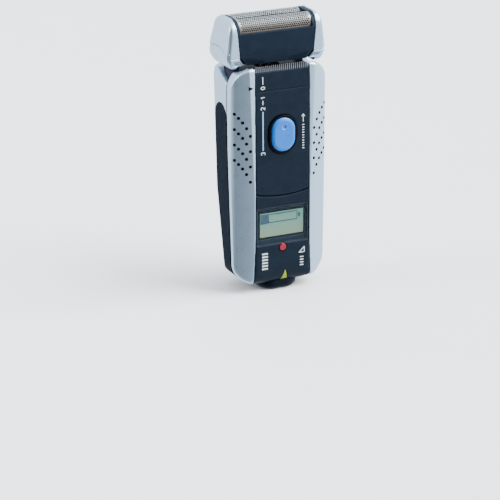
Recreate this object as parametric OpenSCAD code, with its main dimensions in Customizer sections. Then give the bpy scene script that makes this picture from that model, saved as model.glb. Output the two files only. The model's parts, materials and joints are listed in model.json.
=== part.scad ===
// Electric foil shaver, standing upright on its base.
// Frame: origin on the base's underside, straight below the head's pivot axis.
// +Z runs up to the head, -Y is the front with the display, +X is the right-hand side. Millimetres.

/* [Handle] */
// Widest part of the handle
body_w = 59.4; // [58.4:0.1:59.6]
// Top edge of the silver front panels
body_top = 131.8; // [131.4:0.1:132]
// Lowest point of the handle's curved underside, where the base boss leaves it
body_bottom = 4.2; // [4:0.1:4.4]
// Front face of the handle, in front of the pivot axis
front_d = 22; // [21.9:0.1:22.4]
// Rear face of the handle at its thickest, behind the pivot axis
rear_d = 14; // [13.8:0.1:14.6]
// How far the rear face leans in towards the base, in degrees
rear_lean = 3.4; // [3:0.1:3.6]
// Wall of the hard shells
wall = 1.5; // [1.3:0.1:1.6]
// Thickness of the rubber grip
grip_t = 1.3; // [1.1:0.1:1.4]

/* [Centre strip and slide] */
// Half width of the dark centre strip
strip_half = 16.8; // [16.6:0.1:17]
// Height of the lowest point of the slide's curved lower edge
slide_low = 57; // [55:0.5:58]
// Height of the parting line between the slide and the trimmer cover
cover_low = 118.2; // [117:0.2:119]
// Tips of the trimmer's teeth
tip_z = 132.5; // [132:0.1:132.8]
// Number of teeth on the trimmer comb
comb_teeth = 27; // [21:2:31]
// Height of the lock button's centre
button_z = 92.6; // [88:0.2:96]
// Width of the lock button
button_w = 14.3; // [12:0.1:15]
// Height of the lock button, end to end
button_h = 19.5; // [17:0.1:21]

/* [Display] */
// Lower edge of the display lens
lens_low = 28.4; // [28.3:0.1:29]
// Upper edge of the display lens
lens_high = 50.6; // [49:0.1:52]
// Radius of the red charge lens
lamp_r = 2.1; // [1.8:0.1:2.1]

/* [Head] */
// Height of the head's pivot axis
pivot_z = 139; // [138.8:0.1:139.2]
// Half width of the foil cassette between the side caps, at its lower edge
cassette_half = 22.4; // [22:0.1:22.4]
// How far the ends of the cassette lean outward, in degrees
cap_lean = 5.4; // [4:0.2:6]
// Front face of the head, in front of the pivot axis
head_front = 13.4; // [13.2:0.1:13.5]
// Rear face of the head, behind the pivot axis
head_rear = 12.4; // [12.2:0.1:12.6]
// Radius of each foil's arch
foil_r = 5.2; // [5:0.1:5.3]
// Height of the centre of the foil arches
foil_z = 151.7; // [151.5:0.1:151.9]

/* [Power socket] */
// Radius of each socket pin
pin_r = 1.2; // [1:0.1:1.3]
// Free length of each socket pin
pin_len = 6; // [5:0.5:6.5]
// Half the distance between the two socket pins
pin_half = 4; // [3.9:0.1:4.2]

/* [Hidden] */
$fn = 64;

// Room beyond any outline, for cutting blocks
far = 200;
// Gap between neighbouring pieces of one housing
seam = 0.1;
// Gap between pieces that slide past each other
slip = 0.3;
// Largest step of an arc in a rounded outline, in degrees
arc_step = 9;

body_half = body_w / 2;
// The rear housing is a little narrower than the front
rear_half = body_half - 0.3;
slide_half = strip_half - slip;
// The slide's lower edge is an arc about this height
slide_arc_r = 66;
slide_arc_z = slide_low + slide_arc_r;
// Parting plane between the front and rear housings, leaning forward towards the base
parting_y = -10;
parting_z = 120;
parting_lean = 2;
// Rear plane of the slide, front plane of the channel floor and its thickness
slide_back = -19;
floor_y = -18.2;
floor_t = 1.4;

// ---- Outlines ------------------------------------------------------------

function unit(v) = v / norm(v);

function spin(v, a) = [v.x * cos(a) - v.y * sin(a), v.x * sin(a) + v.y * cos(a)];

// The arc that rounds the corner at p, between neighbours a and b
function corner(a, p, b, r) =
    let (
        u = unit(a - p),
        v = unit(b - p),
        half = acos(max(-1, min(1, u * v))) / 2,
        centre = p + unit(u + v) * r / sin(half),
        start = p + u * r / tan(half) - centre,
        finish = p + v * r / tan(half) - centre,
        sweep = (180 - 2 * half) * sign(cross(start, finish)),
        steps = max(2, ceil(abs(sweep) / arc_step))
    )
    r == 0 ? [p] : [for (i = [0:steps]) centre + spin(start, sweep * i / steps)];

// Points of an outline given as [x, y, corner radius]
function rounded(pts) =
    let (n = len(pts))
    [for (i = [0:n - 1])
        let (a = pts[(i + n - 1) % n], p = pts[i], b = pts[(i + 1) % n])
        each corner([a.x, a.y], [p.x, p.y], [b.x, b.y], p[2])];

// The same outline moved in by t all round; its points run anticlockwise
function inset(pts, t) =
    let (n = len(pts))
    [for (i = [0:n - 1])
        let (
            a = pts[(i + n - 1) % n],
            p = pts[i],
            b = pts[(i + 1) % n],
            into = unit([p.x - a.x, p.y - a.y]),
            away = unit([b.x - p.x, b.y - p.y]),
            n1 = [-into.y, into.x],
            n2 = [-away.y, away.x],
            shift = (n1 + n2) * t / (1 + n1 * n2)
        )
        [p.x + shift.x, p.y + shift.y, p[2] == 0 ? 0 : max(p[2] - t, 0.3)]];

// Mirrors the right-hand points of an outline to make the whole, anticlockwise from the bottom
function both_sides(pts) =
    concat(pts, [for (i = [len(pts) - 1:-1:0]) if (pts[i].x != 0) [-pts[i].x, pts[i].y, pts[i][2]]]);

module outline(pts, t = 0) {
    polygon(rounded(inset(pts, t)));
}

// Extrudes an outline drawn in X and Z along Y
module along_y(low, high) {
    rotate([90, 0, 0])
        translate([0, 0, -high])
            linear_extrude(high - low)
                children();
}

// Extrudes an outline drawn in Y and Z along X
module along_x(low, high) {
    rotate([90, 0, 90])
        translate([0, 0, low])
            linear_extrude(high - low)
                children();
}

// A block from one corner to the opposite one
module block(low, high) {
    translate(low)
        cube(high - low);
}

// A round bar along Y
module bar_y(x, z, r, low, high) {
    translate([x, low, z])
        rotate([-90, 0, 0])
            cylinder(r = r, h = high - low);
}

// A round bar along X
module bar_x(y, z, r, low, high) {
    translate([low, y, z])
        rotate([0, 90, 0])
            cylinder(r = r, h = high - low);
}

// Keeps the half of its children on the side s, beyond x
module side(s, x) {
    intersection() {
        children();
        block(s > 0 ? [x, -far, -far] : [-far, -far, -far],
              s > 0 ? [far, far, 2 * far] : [-x, far, 2 * far]);
    }
}

// An upright oval: two round ends joined by straight sides
function oval_points(w, h) =
    [[w / 2, -h / 2, w / 2 - 0.01], [w / 2, h / 2, w / 2 - 0.01],
     [-w / 2, h / 2, w / 2 - 0.01], [-w / 2, -h / 2, w / 2 - 0.01]];

// ---- Handle envelope -----------------------------------------------------

handle_front = both_sides([
    [0, body_bottom - 0.7, 100],
    [body_half - 1.5, body_bottom + 2.7, 12],
    [body_half, 100, 150],
    [body_half - 0.9, body_top, 12]
]);

handle_section_front = [
    [body_half, far, 0],
    [-body_half, far, 0],
    [-body_half, -front_d + 6, 5],
    [-strip_half, -front_d, 7],
    [strip_half, -front_d, 7],
    [body_half, -front_d + 6, 5]
];

handle_section_rear = [
    [-rear_half, -far, 0],
    [rear_half, -far, 0],
    [rear_half, rear_d - 1.6, 9],
    [0, rear_d + 0.6, 60],
    [-rear_half, rear_d - 1.6, 9]
];

handle_profile = [
    [-front_d, body_bottom - 1, 8],
    [far / 4, body_bottom - 1, 0],
    [far / 4, body_top + 1, 0],
    [-front_d + 1.6, body_top + 1, 0],
    [-front_d, 45, 150]
];

// Height about which the rear face leans, and where it meets the underside
lean_z = 110;
rear_foot = rear_d + 0.4 - (lean_z - body_bottom) * tan(rear_lean);

rear_underside = [
    [-far / 4, body_bottom - 0.6, 0],
    [rear_foot, body_bottom - 0.6, 8],
    [rear_foot, far, 0],
    [-far / 4, far, 0]
];

// The rear corners draw in towards the base: one leaning plane on each side
corner_turn = 25;
corner_draw = 5;
corner_out = 27.2;
corner_z = 52;

module rear_corner(turn, t) {
    translate([0, 0, corner_z])
        rotate([0, 0, turn])
            rotate([0, corner_draw, 0])
                block([-far, -far, -far], [corner_out - t, far, far]);
}

// Outer shape of the whole handle, moved in by t
module handle(t = 0) {
    intersection() {
        rear_corner(corner_turn, t);
        rear_corner(180 - corner_turn, t);
        along_y(-far, far) outline(handle_front, t);
        linear_extrude(far) outline(handle_section_front, t);
        translate([0, 0, lean_z])
            rotate([-rear_lean, 0, 0])
                translate([0, 0, -far])
                    linear_extrude(2 * far) outline(handle_section_rear, t);
        along_x(-far, far) outline(handle_profile, t);
        translate([0, 0, body_bottom])
            rotate([-rear_lean, 0, 0])
                translate([0, 0, -body_bottom])
                    along_x(-far, far) outline(rear_underside, t);
    }
}

// Everything in front of the parting plane, less a gap
module ahead_of_parting(gap) {
    translate([0, parting_y - gap, parting_z])
        rotate([-parting_lean, 0, 0])
            block([-far, -far, -far], [far, 0, far]);
}

// Everything behind the parting plane, less a gap
module behind_parting(gap) {
    translate([0, parting_y + gap, parting_z])
        rotate([-parting_lean, 0, 0])
            block([-far, 0, -far], [far, far, far]);
}

// ---- Front of the handle -------------------------------------------------

// The strip widens a little towards the base
strip_edge = [[strip_half, far], [strip_half, 32], [strip_half + 1.1, 4], [strip_half + 1.1, -far]];

module strip_zone(gap) {
    along_y(-far, far)
        polygon(concat(
            [for (p = strip_edge) [p.x - gap, p.y]],
            [for (i = [3:-1:0]) [gap - strip_edge[i].x, strip_edge[i].y]]
        ));
}

// Room that the head needs above the front panels when it tips
head_room = [[-16.2, far], [-16.2, 130.6], [-15.2, 128.4], [far, 128.4], [far, far]];

// Rows of studs: distance from the middle, height of the top stud, number of studs
stud_rows = [[27.7, 106.5, 4], [25.7, 104.2, 4], [23.7, 101.6, 4], [21.7, 98.3, 4], [19.7, 93.8, 4]];
stud_pitch = 8.9;
stud_r = 0.95;
stud_back = -13.6;
stud_hole_r = stud_r + 0.05;

module stud_bars(s, r, low, high) {
    for (row = stud_rows)
        for (i = [0:row[2] - 1])
            bar_y(s * row.x, row.y - i * stud_pitch, r, low, high);
}

flange_in = strip_half + wall;

module front_shell(s) {
    difference() {
        intersection() {
            handle();
            ahead_of_parting(seam + 0.35);
        }
        strip_zone(0);
        // Hollow behind the panel, with a flange left along the strip
        intersection() {
            handle(wall);
            block([-far, -far, 0], [far, far, 122.5]);
            union() {
                block([flange_in, -far, 0], [far, far, far]);
                block([-far, -far, 0], [-flange_in, far, far]);
            }
        }
        block([-flange_in - 1.1, floor_y - seam, 8.9], [flange_in + 1.1, far, far]);
        along_x(-far, far) polygon(head_room);
        // Groove that guides the slide's tongue
        block([-strip_half - 0.8, -20.2, 55], [strip_half + 0.8, floor_y, far]);
        stud_bars(s, stud_hole_r, -front_d, stud_back);
        block(s > 0 ? [-far, -far, -1] : [0, -far, -1], s > 0 ? [0, far, far] : [far, far, far]);
    }
}

module front_shell_left() {
    color("lightsteelblue") front_shell(-1);
}

module front_shell_right() {
    color("lightsteelblue") front_shell(1);
}

// Studs on a backing pad inside each panel
module stud_pad(s) {
    intersection() {
        union() {
            difference() {
                handle(wall + seam);
                handle(wall + 0.9);
            }
            intersection() {
                handle(0.1);
                stud_bars(s, stud_r, -front_d, stud_back);
            }
        }
        ahead_of_parting(seam + 0.5);
        block(s > 0 ? [flange_in + 0.2, -far, 62] : [-far, -far, 62],
              s > 0 ? [far, far, 110] : [-flange_in - 0.2, far, 110]);
    }
}

module grip_studs() {
    color("black")
        for (s = [-1, 1])
            difference() {
                stud_pad(s);
                // The studs end inside the pad
                intersection() {
                    handle(wall + 0.9);
                    block([-far, -far, 60], [far, far, 112]);
                }
            }
}

// ---- Rear of the handle --------------------------------------------------

rear_top = [[-14, -1], [-14, 120.9], [-9, 122.4], [8, 127.5], [far, 127.5], [far, -1]];

// Where rubber covers the rear housing: an arch on each side, level across the back
arch_r = 8;
arch_z = 101.4;
arch_y = -2.2;

module grip_zone(gap) {
    along_x(-far, far)
        union() {
            translate([arch_y, arch_z]) circle(r = arch_r - gap);
            translate([-far, -1]) square([far * 2, arch_z + 1 - gap]);
        }
}

// Opening in the underside for the base's neck
neck_half_x = 9.4;
neck_half_y = 6.8;
base_y = -8.9;

module neck_block(gap, low, high) {
    block([-neck_half_x - gap, base_y - neck_half_y - gap, low],
          [neck_half_x + gap, base_y + neck_half_y + gap, high]);
}

contact_x = 6;
contact_z = 20;
contact_r = 2;
screw_x = 21;
screw_heights = [32, 92];
screw_r = 1.1;
screw_seat = 3.4;

module at_screws() {
    for (s = [-1, 1])
        for (z = screw_heights)
            translate([s * screw_x, 0, z])
                rotate([-90, 0, 0])
                    children();
}

module rear_shell() {
    color("lightsteelblue")
        difference() {
            union() {
                difference() {
                    intersection() {
                        handle();
                        behind_parting(seam + 0.35);
                        along_x(-far, far) polygon(rear_top);
                    }
                    difference() {
                        grip_zone(0);
                        handle(grip_t + 0.05);
                    }
                    handle(wall + grip_t);
                }
                // Screw posts
                intersection() {
                    at_screws() cylinder(r = 3, h = far);
                    handle(wall + grip_t - 0.3);
                    block([-far, 1, -1], [far, far, far]);
                }
            }
            at_screws() translate([0, 0, -5]) cylinder(r = screw_r + 0.15, h = far);
            at_screws() translate([0, 0, screw_seat]) cylinder(r = 2.3, h = far);
            neck_block(seam, -1, 12);
            for (s = [-1, 1])
                bar_y(s * contact_x, contact_z, contact_r + 0.05, 4, far);
        }
}

rib_pitch = 6;

module rear_grip() {
    color("darkslategray")
        difference() {
            intersection() {
                handle();
                behind_parting(seam + 0.35);
                grip_zone(0.1);
            }
            handle(grip_t);
            neck_block(seam + 0.2, -1, 12);
            for (s = [-1, 1])
                bar_y(s * contact_x, contact_z, contact_r + 0.05, 4, far);
            // Grooves across the back
            for (i = [0:8])
                translate([0, 0, 36 + i * rib_pitch])
                    difference() {
                        block([-16, 0, -0.7], [16, far, 0.7]);
                        translate([0, 0, -36 - i * rib_pitch]) handle(0.6);
                    }
        }
}

// Seal between the front and rear housings
module housing_gasket() {
    color("black")
        difference() {
            intersection() {
                handle(0.5);
                ahead_of_parting(-0.4);
                behind_parting(-0.4);
                along_x(-far, far) polygon([[-20, -1], [-20, 124], [-9, 124], [0, 124], [0, -1]]);
            }
            handle(wall + 1.1);
            neck_block(seam, -1, 12);
        }
}

// ---- Frame ---------------------------------------------------------------

rail_in = 17;
rail_out = 18.2;
deck_low = 119.6;
deck_high = 122.2;
neck_top = 127.6;
neck_half = 16.4;
post_in = 18.9;
post_out = 20.7;
post_r = 3.6;
pivot_r = 1.5;
well_r = 7.4;
well_low = 121.4;
drive_hole_r = 2.7;
window_half = 14.6;
window_low = 31.5;
window_high = 48.3;

module pivot_posts() {
    for (s = [-1, 1])
        side(s, post_in)
            side(-s, -post_out)
                union() {
                    bar_x(0, pivot_z, post_r, -far, far);
                    block([-far, -post_r, deck_high], [far, post_r, pivot_z]);
                }
}

module mid_frame() {
    color("dimgray")
        difference() {
            union() {
                // Floor of the slide channel
                block([-rail_out + seam, floor_y, 9], [rail_out - seam, floor_y + floor_t, neck_top]);
                // Side rails
                for (s = [-1, 1])
                    side(s, rail_in)
                        block([-rail_out + seam, floor_y, 12], [rail_out - seam, 0.8, deck_low + 1]);
                // Deck across the inside of the housings
                intersection() {
                    handle(wall + grip_t + seam);
                    block([-far, floor_y, deck_low], [far, far, deck_high]);
                }
                // Shoulders and neck under the head
                intersection() {
                    handle(wall + grip_t + seam);
                    block([-far, -9.2, deck_low], [far, far, neck_top]);
                }
                intersection() {
                    handle(wall + grip_t + seam);
                    block([-neck_half, floor_y, deck_low], [neck_half, 8.4, neck_top]);
                }
                pivot_posts();
                // Screw bosses
                intersection() {
                    at_screws() translate([0, 0, -9]) cylinder(r = 3, h = 9.8);
                    handle(wall + 2);
                }
                for (s = [-1, 1])
                    for (z = screw_heights)
                        side(s, rail_in)
                            block([-screw_x, -9, z - 1.5], [screw_x, 0.8, z + 1.5]);
            }
            // Room for the sloping front panels beside the floor's top
            for (s = [-1, 1])
                side(s, strip_half - 0.3)
                    block([-far, -far, 122.2], [far, -9.2, far]);
            translate([0, 0, well_low]) cylinder(r = well_r, h = far);
            translate([0, 0, deck_low - 2]) cylinder(r = drive_hole_r, h = 10);
            for (s = [-1, 1])
                bar_x(0, pivot_z, pivot_r, s * 20 - 4, s * 20 + 4);
            at_screws() translate([0, 0, -7]) cylinder(r = screw_r, h = 9);
            block([-window_half, -far, window_low], [window_half, far, window_high]);
            bar_y(0, lamp_z, lamp_r + 0.2, -20, -10);
        }
}

// ---- Display panel -------------------------------------------------------

lamp_z = 26.1;
lens_half = 15.9;
lens_t = 1.2;
lens_back = -front_d + 0.35 + lens_t;
lcd_half = 14.2;

sail = [[1.8, 12.4], [3.3, 6.3], [-0.7, 5.4]];

module base_outline(t) {
    translate([0, base_y])
        outline([[12.3, -11.5, 9], [12.3, 11.5, 9], [-12.3, 11.5, 9], [-12.3, -11.5, 9]], t);
}

module front_panel() {
    color("darkslategray")
        difference() {
            intersection() {
                handle(0.15);
                strip_zone(0.25);
                union() {
                    block([-far, -far, -1], [far, floor_y - seam, far]);
                    // Return along the underside
                    difference() {
                        block([-far, -far, -1], [far, far, 9]);
                        handle(wall + 0.15);
                    }
                }
                ahead_of_parting(seam + 0.35);
            }
            bar_y(0, slide_arc_z, slide_arc_r + 0.5, -far, far);
            neck_block(seam, -1, 12);
            block([-lens_half - seam, -far, lens_low - seam],
                  [lens_half + seam, lens_back + seam, lens_high + seam]);
            block([-window_half, -far, window_low], [window_half, far, window_high]);
            bar_y(0, lamp_z, lamp_r + 0.05, -far, 0);
            along_y(-far, 0) polygon(sail);
        }
}

module display_lens() {
    color("slategray", 0.4)
        block([-lens_half, -front_d + 0.35, lens_low], [lens_half, lens_back, lens_high]);
}

module lcd_module() {
    color("darkseagreen")
        difference() {
            block([-lcd_half, lens_back + 0.3, window_low + 0.3], [lcd_half, -16.6, window_high - 0.3]);
            // Step round the glass
            difference() {
                block([-far, -far, -far], [far, lens_back + 0.8, far]);
                block([-lcd_half + 0.7, -far, window_low + 1], [lcd_half - 0.7, far, window_high - 1]);
            }
        }
}

module charge_lens() {
    color("red") {
        bar_y(0, lamp_z, lamp_r, -front_d - 0.3, -16.5);
    }
}

module status_lens() {
    color("yellowgreen")
        intersection() {
            along_y(-far, floor_y - seam) polygon(sail);
            handle(0.1);
        }
}

// ---- Electrics -----------------------------------------------------------

board_y = -15.6;
board_t = 1.4;

module circuit_board() {
    color("darkgreen")
        difference() {
            union() {
                block([-15.6, board_y, 17], [15.6, board_y + board_t, 80]);
                // Processor, transformer, capacitors and relay on the back
                block([-12, board_y + board_t, 66], [-4, board_y + board_t + 1.6, 74]);
                block([3, board_y + board_t, 66], [13, board_y + board_t + 3, 76]);
                for (x = [-12, -7, -2])
                    bar_y(x, 22, 1.8, board_y + board_t, board_y + board_t + 3.6);
                // Row of small parts
                for (i = [0:5])
                    block([3 + i * 1.9, board_y + board_t, 20],
                          [4.1 + i * 1.9, board_y + board_t + 0.8, 22.4]);
            }
            for (s = [-1, 1])
                bar_y(s * 13.4, 77.5, 1, -far, 0);
        }
}

cell_x = 7.6;
cell_y = -2.4;
cell_r = 7;
cell_low = 15;
cell_high = 64;

module battery_cells() {
    color("royalblue")
        for (s = [-1, 1])
            translate([s * cell_x, cell_y, cell_low]) {
                cylinder(r = cell_r, h = cell_high - cell_low - 1);
                cylinder(r = cell_r * 0.35, h = cell_high - cell_low);
            }
}

module battery_straps() {
    color("silver") {
        block([-cell_x - 2, cell_y - 2, cell_high], [cell_x + 2, cell_y + 2, cell_high + 0.4]);
        for (s = [-1, 1])
            union() {
                block([s * cell_x - 2, cell_y - 2, cell_low - 0.4], [s * cell_x + 2, cell_y + 2, cell_low]);
                block([s * cell_x - 2, cell_y - 9, cell_low - 0.4], [s * cell_x + 2, cell_y - 2, cell_low]);
            }
    }
}

motor_r = 10;
motor_low = 80;
motor_high = 108;
boss_high = 110;
shaft_r = 1;

module motor() {
    color("gainsboro")
        difference() {
            union() {
                intersection() {
                    translate([0, 0, motor_low]) cylinder(r = motor_r, h = motor_high - motor_low);
                    block([-far, -7.6, 0], [far, 7.6, far]);
                }
                translate([0, 0, motor_low - 2]) cylinder(r = 3, h = boss_high - motor_low + 2);
                for (s = [-1, 1])
                    block([s * 6 - 1, -0.4, motor_low - 4], [s * 6 + 1, 0.4, motor_low]);
            }
            translate([0, 0, 88]) cylinder(r = shaft_r + 0.05, h = far);
        }
}

module motor_bracket() {
    color("gray")
        difference() {
            block([-rail_in + seam, -9, motor_high + seam], [rail_in - seam, 8, motor_high + 1.5]);
            cylinder(r = 3.1, h = far);
            for (s = [-1, 1])
                translate([s * 7.5, 0, 0]) cylinder(r = 1.1, h = far);
        }
}

// ---- Base and power socket -----------------------------------------------

socket_half_x = 7;
socket_half_y = 4.5;
socket_wall = 1;
socket_floor = 7;
// The pins' roots are thinner, so that each pin's free part ends at the floor
pin_root_r = pin_r - 0.2;

module base_cap() {
    color("darkslategray")
        difference() {
            union() {
                difference() {
                    linear_extrude(7) base_outline(0);
                    handle(-0.1);
                }
                neck_block(0, 1, 9.5);
            }
            block([-socket_half_x - socket_wall - seam, base_y - socket_half_y - socket_wall - seam, -1],
                  [socket_half_x + socket_wall + seam, base_y + socket_half_y + socket_wall + seam, 12]);
        }
}

module power_socket() {
    color("black")
        difference() {
            block([-socket_half_x - socket_wall, base_y - socket_half_y - socket_wall, 0.4],
                  [socket_half_x + socket_wall, base_y + socket_half_y + socket_wall, socket_floor + 2.4]);
            block([-socket_half_x, base_y - socket_half_y, -1],
                  [socket_half_x, base_y + socket_half_y, socket_floor]);
            for (s = [-1, 1])
                translate([s * pin_half, base_y, 0]) cylinder(r = pin_root_r, h = 20);
        }
}

module socket_pins() {
    color("gold")
        for (s = [-1, 1])
            translate([s * pin_half, base_y, socket_floor - pin_len])
                union() {
                    cylinder(r = pin_r, h = pin_len);
                    cylinder(r = pin_root_r, h = pin_len + 5);
                }
}

module charging_contacts() {
    color("gold")
        for (s = [-1, 1])
            intersection() {
                bar_y(s * contact_x, contact_z, contact_r, 4.6, far);
                handle(0.2);
            }
}

module housing_screws() {
    color("silver")
        at_screws()
            union() {
                translate([0, 0, -6]) cylinder(r = screw_r - 0.02, h = screw_seat + 6);
                translate([0, 0, screw_seat]) cylinder(r = 2.1, h = 1.2);
            }
}

// Rubber seal round the drive pin, drawn relaxed with a clear bore
module seal_bellows() {
    color("black")
        rotate_extrude()
            polygon([
                [drive_hole_r + 0.1, well_low], [well_r - 0.1, well_low], [well_r - 0.1, well_low + 1.2],
                [6, well_low + 1.2], [5, well_low + 2.2], [5.6, well_low + 3.2], [4.6, well_low + 4.2],
                [4.6, well_low + 5.6], [drive_hole_r + 0.1, well_low + 5.6]
            ]);
}

module pivot_pins() {
    color("silver")
        for (s = [-1, 1])
            bar_x(0, pivot_z, pivot_r, s > 0 ? post_in : -23.2, s > 0 ? 23.2 : -post_in);
}

// ---- Slide ---------------------------------------------------------------

tongue_half = strip_half + 0.5;
bezel_gap = 1.5;

module slide_section(low, high) {
    intersection() {
        handle(0.2);
        block([-slide_half, -far, low], [slide_half, slide_back, high]);
    }
}

module tongues(low, high) {
    for (s = [-1, 1])
        side(s, slide_half - 1)
            block([-tongue_half, -19.9, low], [tongue_half, slide_back, high]);
}

module button_outline(grow) {
    translate([0, button_z])
        outline(oval_points(button_w + 2 * grow, button_h + 2 * grow));
}

module slide_panel() {
    color("darkslategray")
        difference() {
            intersection() {
                union() {
                    slide_section(slide_low - 1, cover_low);
                    tongues(slide_low + 3, cover_low);
                }
                bar_y(0, slide_arc_z, slide_arc_r, -far, far);
            }
            along_y(-far, 0) button_outline(bezel_gap + 0.05);
        }
}

module button_bezel() {
    color("black")
        difference() {
            along_y(-front_d + 0.1, slide_back) button_outline(bezel_gap);
            along_y(-far, 0) button_outline(0.3);
        }
}

comb_half = 16.2;
comb_front = -19.6;
comb_back = -19.1;
cutter_t = 0.5;
comb_low = 122;
comb_root = 129.1;
tooth_pitch = 2 * comb_half / comb_teeth;

module trimmer_cover() {
    color("darkslategray")
        difference() {
            union() {
                slide_section(cover_low + 0.2, comb_root);
                tongues(cover_low + 0.2, comb_low - 0.3);
            }
            // Seat of the blades
            block([-far, comb_front, comb_low - 0.3], [far, far, far]);
        }
}

module trimmer_comb() {
    color("silver") {
        union() {
            block([-comb_half, comb_front, comb_low], [comb_half, comb_back, comb_root]);
            for (i = [0:comb_teeth - 1])
                translate([-comb_half + (i + 0.25) * tooth_pitch, comb_front, comb_root - 0.2])
                    cube([tooth_pitch / 2, comb_back - comb_front, tip_z - comb_root + 0.2]);
        }
    }
}

cutter_teeth = comb_teeth - 2;

module trimmer_cutter() {
    color("gray")
        translate([0, comb_back + 0.1, 0])
            union() {
                block([-cutter_teeth * tooth_pitch / 2, 0, comb_low + 0.4],
                      [cutter_teeth * tooth_pitch / 2, cutter_t, comb_root]);
                for (i = [0:cutter_teeth - 1])
                    translate([(i + 0.25 - cutter_teeth / 2) * tooth_pitch, 0, comb_root - 0.2])
                        cube([tooth_pitch / 2, cutter_t, tip_z - comb_root - 0.1]);
            }
}

button_front = -front_d - 1.3;
button_back = -20.2;

module lock_button() {
    color("deepskyblue")
        difference() {
            union() {
                along_y(button_front + 0.8, button_back) button_outline(0);
                along_y(button_front + 0.3, button_front + 0.8) button_outline(-0.5);
                along_y(button_front, button_front + 0.3) button_outline(-1.2);
            }
            bar_y(0, button_z + 4.6, 1.3, -far, button_front + 0.5);
        }
}

module lock_spring() {
    color("silver")
        union() {
            along_y(slide_back - 0.3, slide_back) button_outline(0.3);
            bar_y(0, button_z, 2, button_back + 0.02, slide_back - 0.1);
        }
}

// ---- Drive ---------------------------------------------------------------

throw = 1;
bridge_low = 113.2;
bridge_slot_high = 116.4;
bridge_high = 118;
ball_r = 1.5;
drive_r = 1.1;

module motor_shaft() {
    color("silver")
        translate([0, 0, 90]) cylinder(r = shaft_r, h = 22);
}

module eccentric() {
    color("gold")
        union() {
            difference() {
                translate([0, 0, boss_high + 0.4]) cylinder(r = 3.6, h = 2.4);
                translate([0, 0, 90]) cylinder(r = shaft_r, h = 22);
            }
            translate([throw, 0, boss_high + 2.4]) cylinder(r = 1, h = 3.4);
        }
}

module drive_bridge() {
    color("ivory")
        difference() {
            union() {
                block([-12, -4.6, bridge_low], [12, 4.6, bridge_high]);
                for (s = [-1, 1])
                    side(s, 11)
                        block([-12, -4.6, bridge_low - 2], [12, 4.6, bridge_high + 1.2]);
            }
            // Slot for the eccentric's pin, long enough for any crank angle
            block([-3.4, -2.6, 0], [3.4, 2.6, bridge_slot_high]);
            translate([0, 0, 117]) cylinder(r = drive_r, h = 10);
        }
}

module drive_pin() {
    color("silver")
        union() {
            translate([0, 0, 117]) cylinder(r = drive_r, h = pivot_z - 117.5);
            translate([0, 0, pivot_z]) sphere(r = ball_r);
        }
}

// ---- Head ----------------------------------------------------------------

skirt_low = 132.3;
split_z = 137.4;
sleeve_high = 147;
sleeve_gap = 0.2;
shell_t = 1.2;

head_outline = both_sides([
    [0, 129.6, 100],
    [27.4, 129.7, 4],
    [30.3, 136.6, 5],
    [28.5, 151, 25],
    [27.6, 158.3, 5.5],
    [0, 158.4, 0]
]);

head_profile = [
    [-1.2, 128.6, 40],
    [11.9, 130.6, 5],
    [13.6, 138.5, 12],
    [8.2, 158.3, 8],
    [-13.6, 158.3, 9.5],
    [-13.6, 130.2, 5]
];

head_section = [
    [30.3, -13.6, 2.5],
    [30.3, 13.6, 4.5],
    [-30.3, 13.6, 4.5],
    [-30.3, -13.6, 2.5]
];

module head(t = 0) {
    intersection() {
        along_y(-far, far) outline(head_outline, t);
        along_x(-far, far) outline(head_profile, t);
        linear_extrude(far) outline(head_section, t);
    }
}

// The dark skirt's slanted corner, from its foot up to the split
skirt_corner = [[18.2, skirt_low], [cassette_half, split_z]];

// Everything between the caps: upright ends below the split, leaning outward above it
module between_caps(half) {
    rise = (far - split_z) * tan(cap_lean);
    along_y(-far, far)
        polygon([[-half, 0], [half, 0], [half, split_z], [half + rise, far],
                 [-half - rise, far], [-half, split_z]]);
}

module head_frame() {
    color("darkslategray")
        difference() {
            union() {
                along_y(-head_front, head_rear)
                    polygon(concat(skirt_corner,
                                   [for (i = [1:-1:0]) [-skirt_corner[i].x, skirt_corner[i].y]]));
                // Corners set back behind the release buttons
                intersection() {
                    head(wall + slip);
                    block([-cassette_half, -far, skirt_low], [cassette_half, far, split_z]);
                }
                block([-cassette_half, -head_front + shell_t + sleeve_gap, split_z - 1],
                      [cassette_half, head_rear - shell_t - sleeve_gap, sleeve_high]);
            }
            block([-21.2, -10.9, 0], [21.2, 9.9, far]);
            for (s = [-1, 1])
                bar_x(0, pivot_z, pivot_r + 0.05, s * 22 - 3, s * 22 + 3);
        }
}

cap_in = 22.7;
plate_out = 23.8;
release_r = 25.4;
release_y = 1.5;
release_z = 116;

module side_cap(s) {
    difference() {
        side(s, cap_in)
            union() {
                difference() {
                    head();
                    head(wall);
                    bar_x(release_y, release_z, release_r + 0.15, -far, far);
                }
                // Inner plate beside the cassette, set back where the release button slides over it
                intersection() {
                    between_caps(plate_out);
                    union() {
                        head(wall + slip);
                        difference() {
                            head();
                            bar_x(release_y, release_z, release_r + 0.15, -far, far);
                        }
                    }
                }
            }
        between_caps(cap_in);
        bar_x(0, pivot_z, 3, s > 0 ? 20 : -plate_out + 0.3, s > 0 ? plate_out - 0.3 : -20);
    }
}

module side_cap_left() {
    color("lightsteelblue") side_cap(-1);
}

module side_cap_right() {
    color("lightsteelblue") side_cap(1);
}

button_in = plate_out;
// Room beside the skirt's slanted corner for the button's press
press_room = 1.45;
tongue_back = 10.4;

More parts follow.
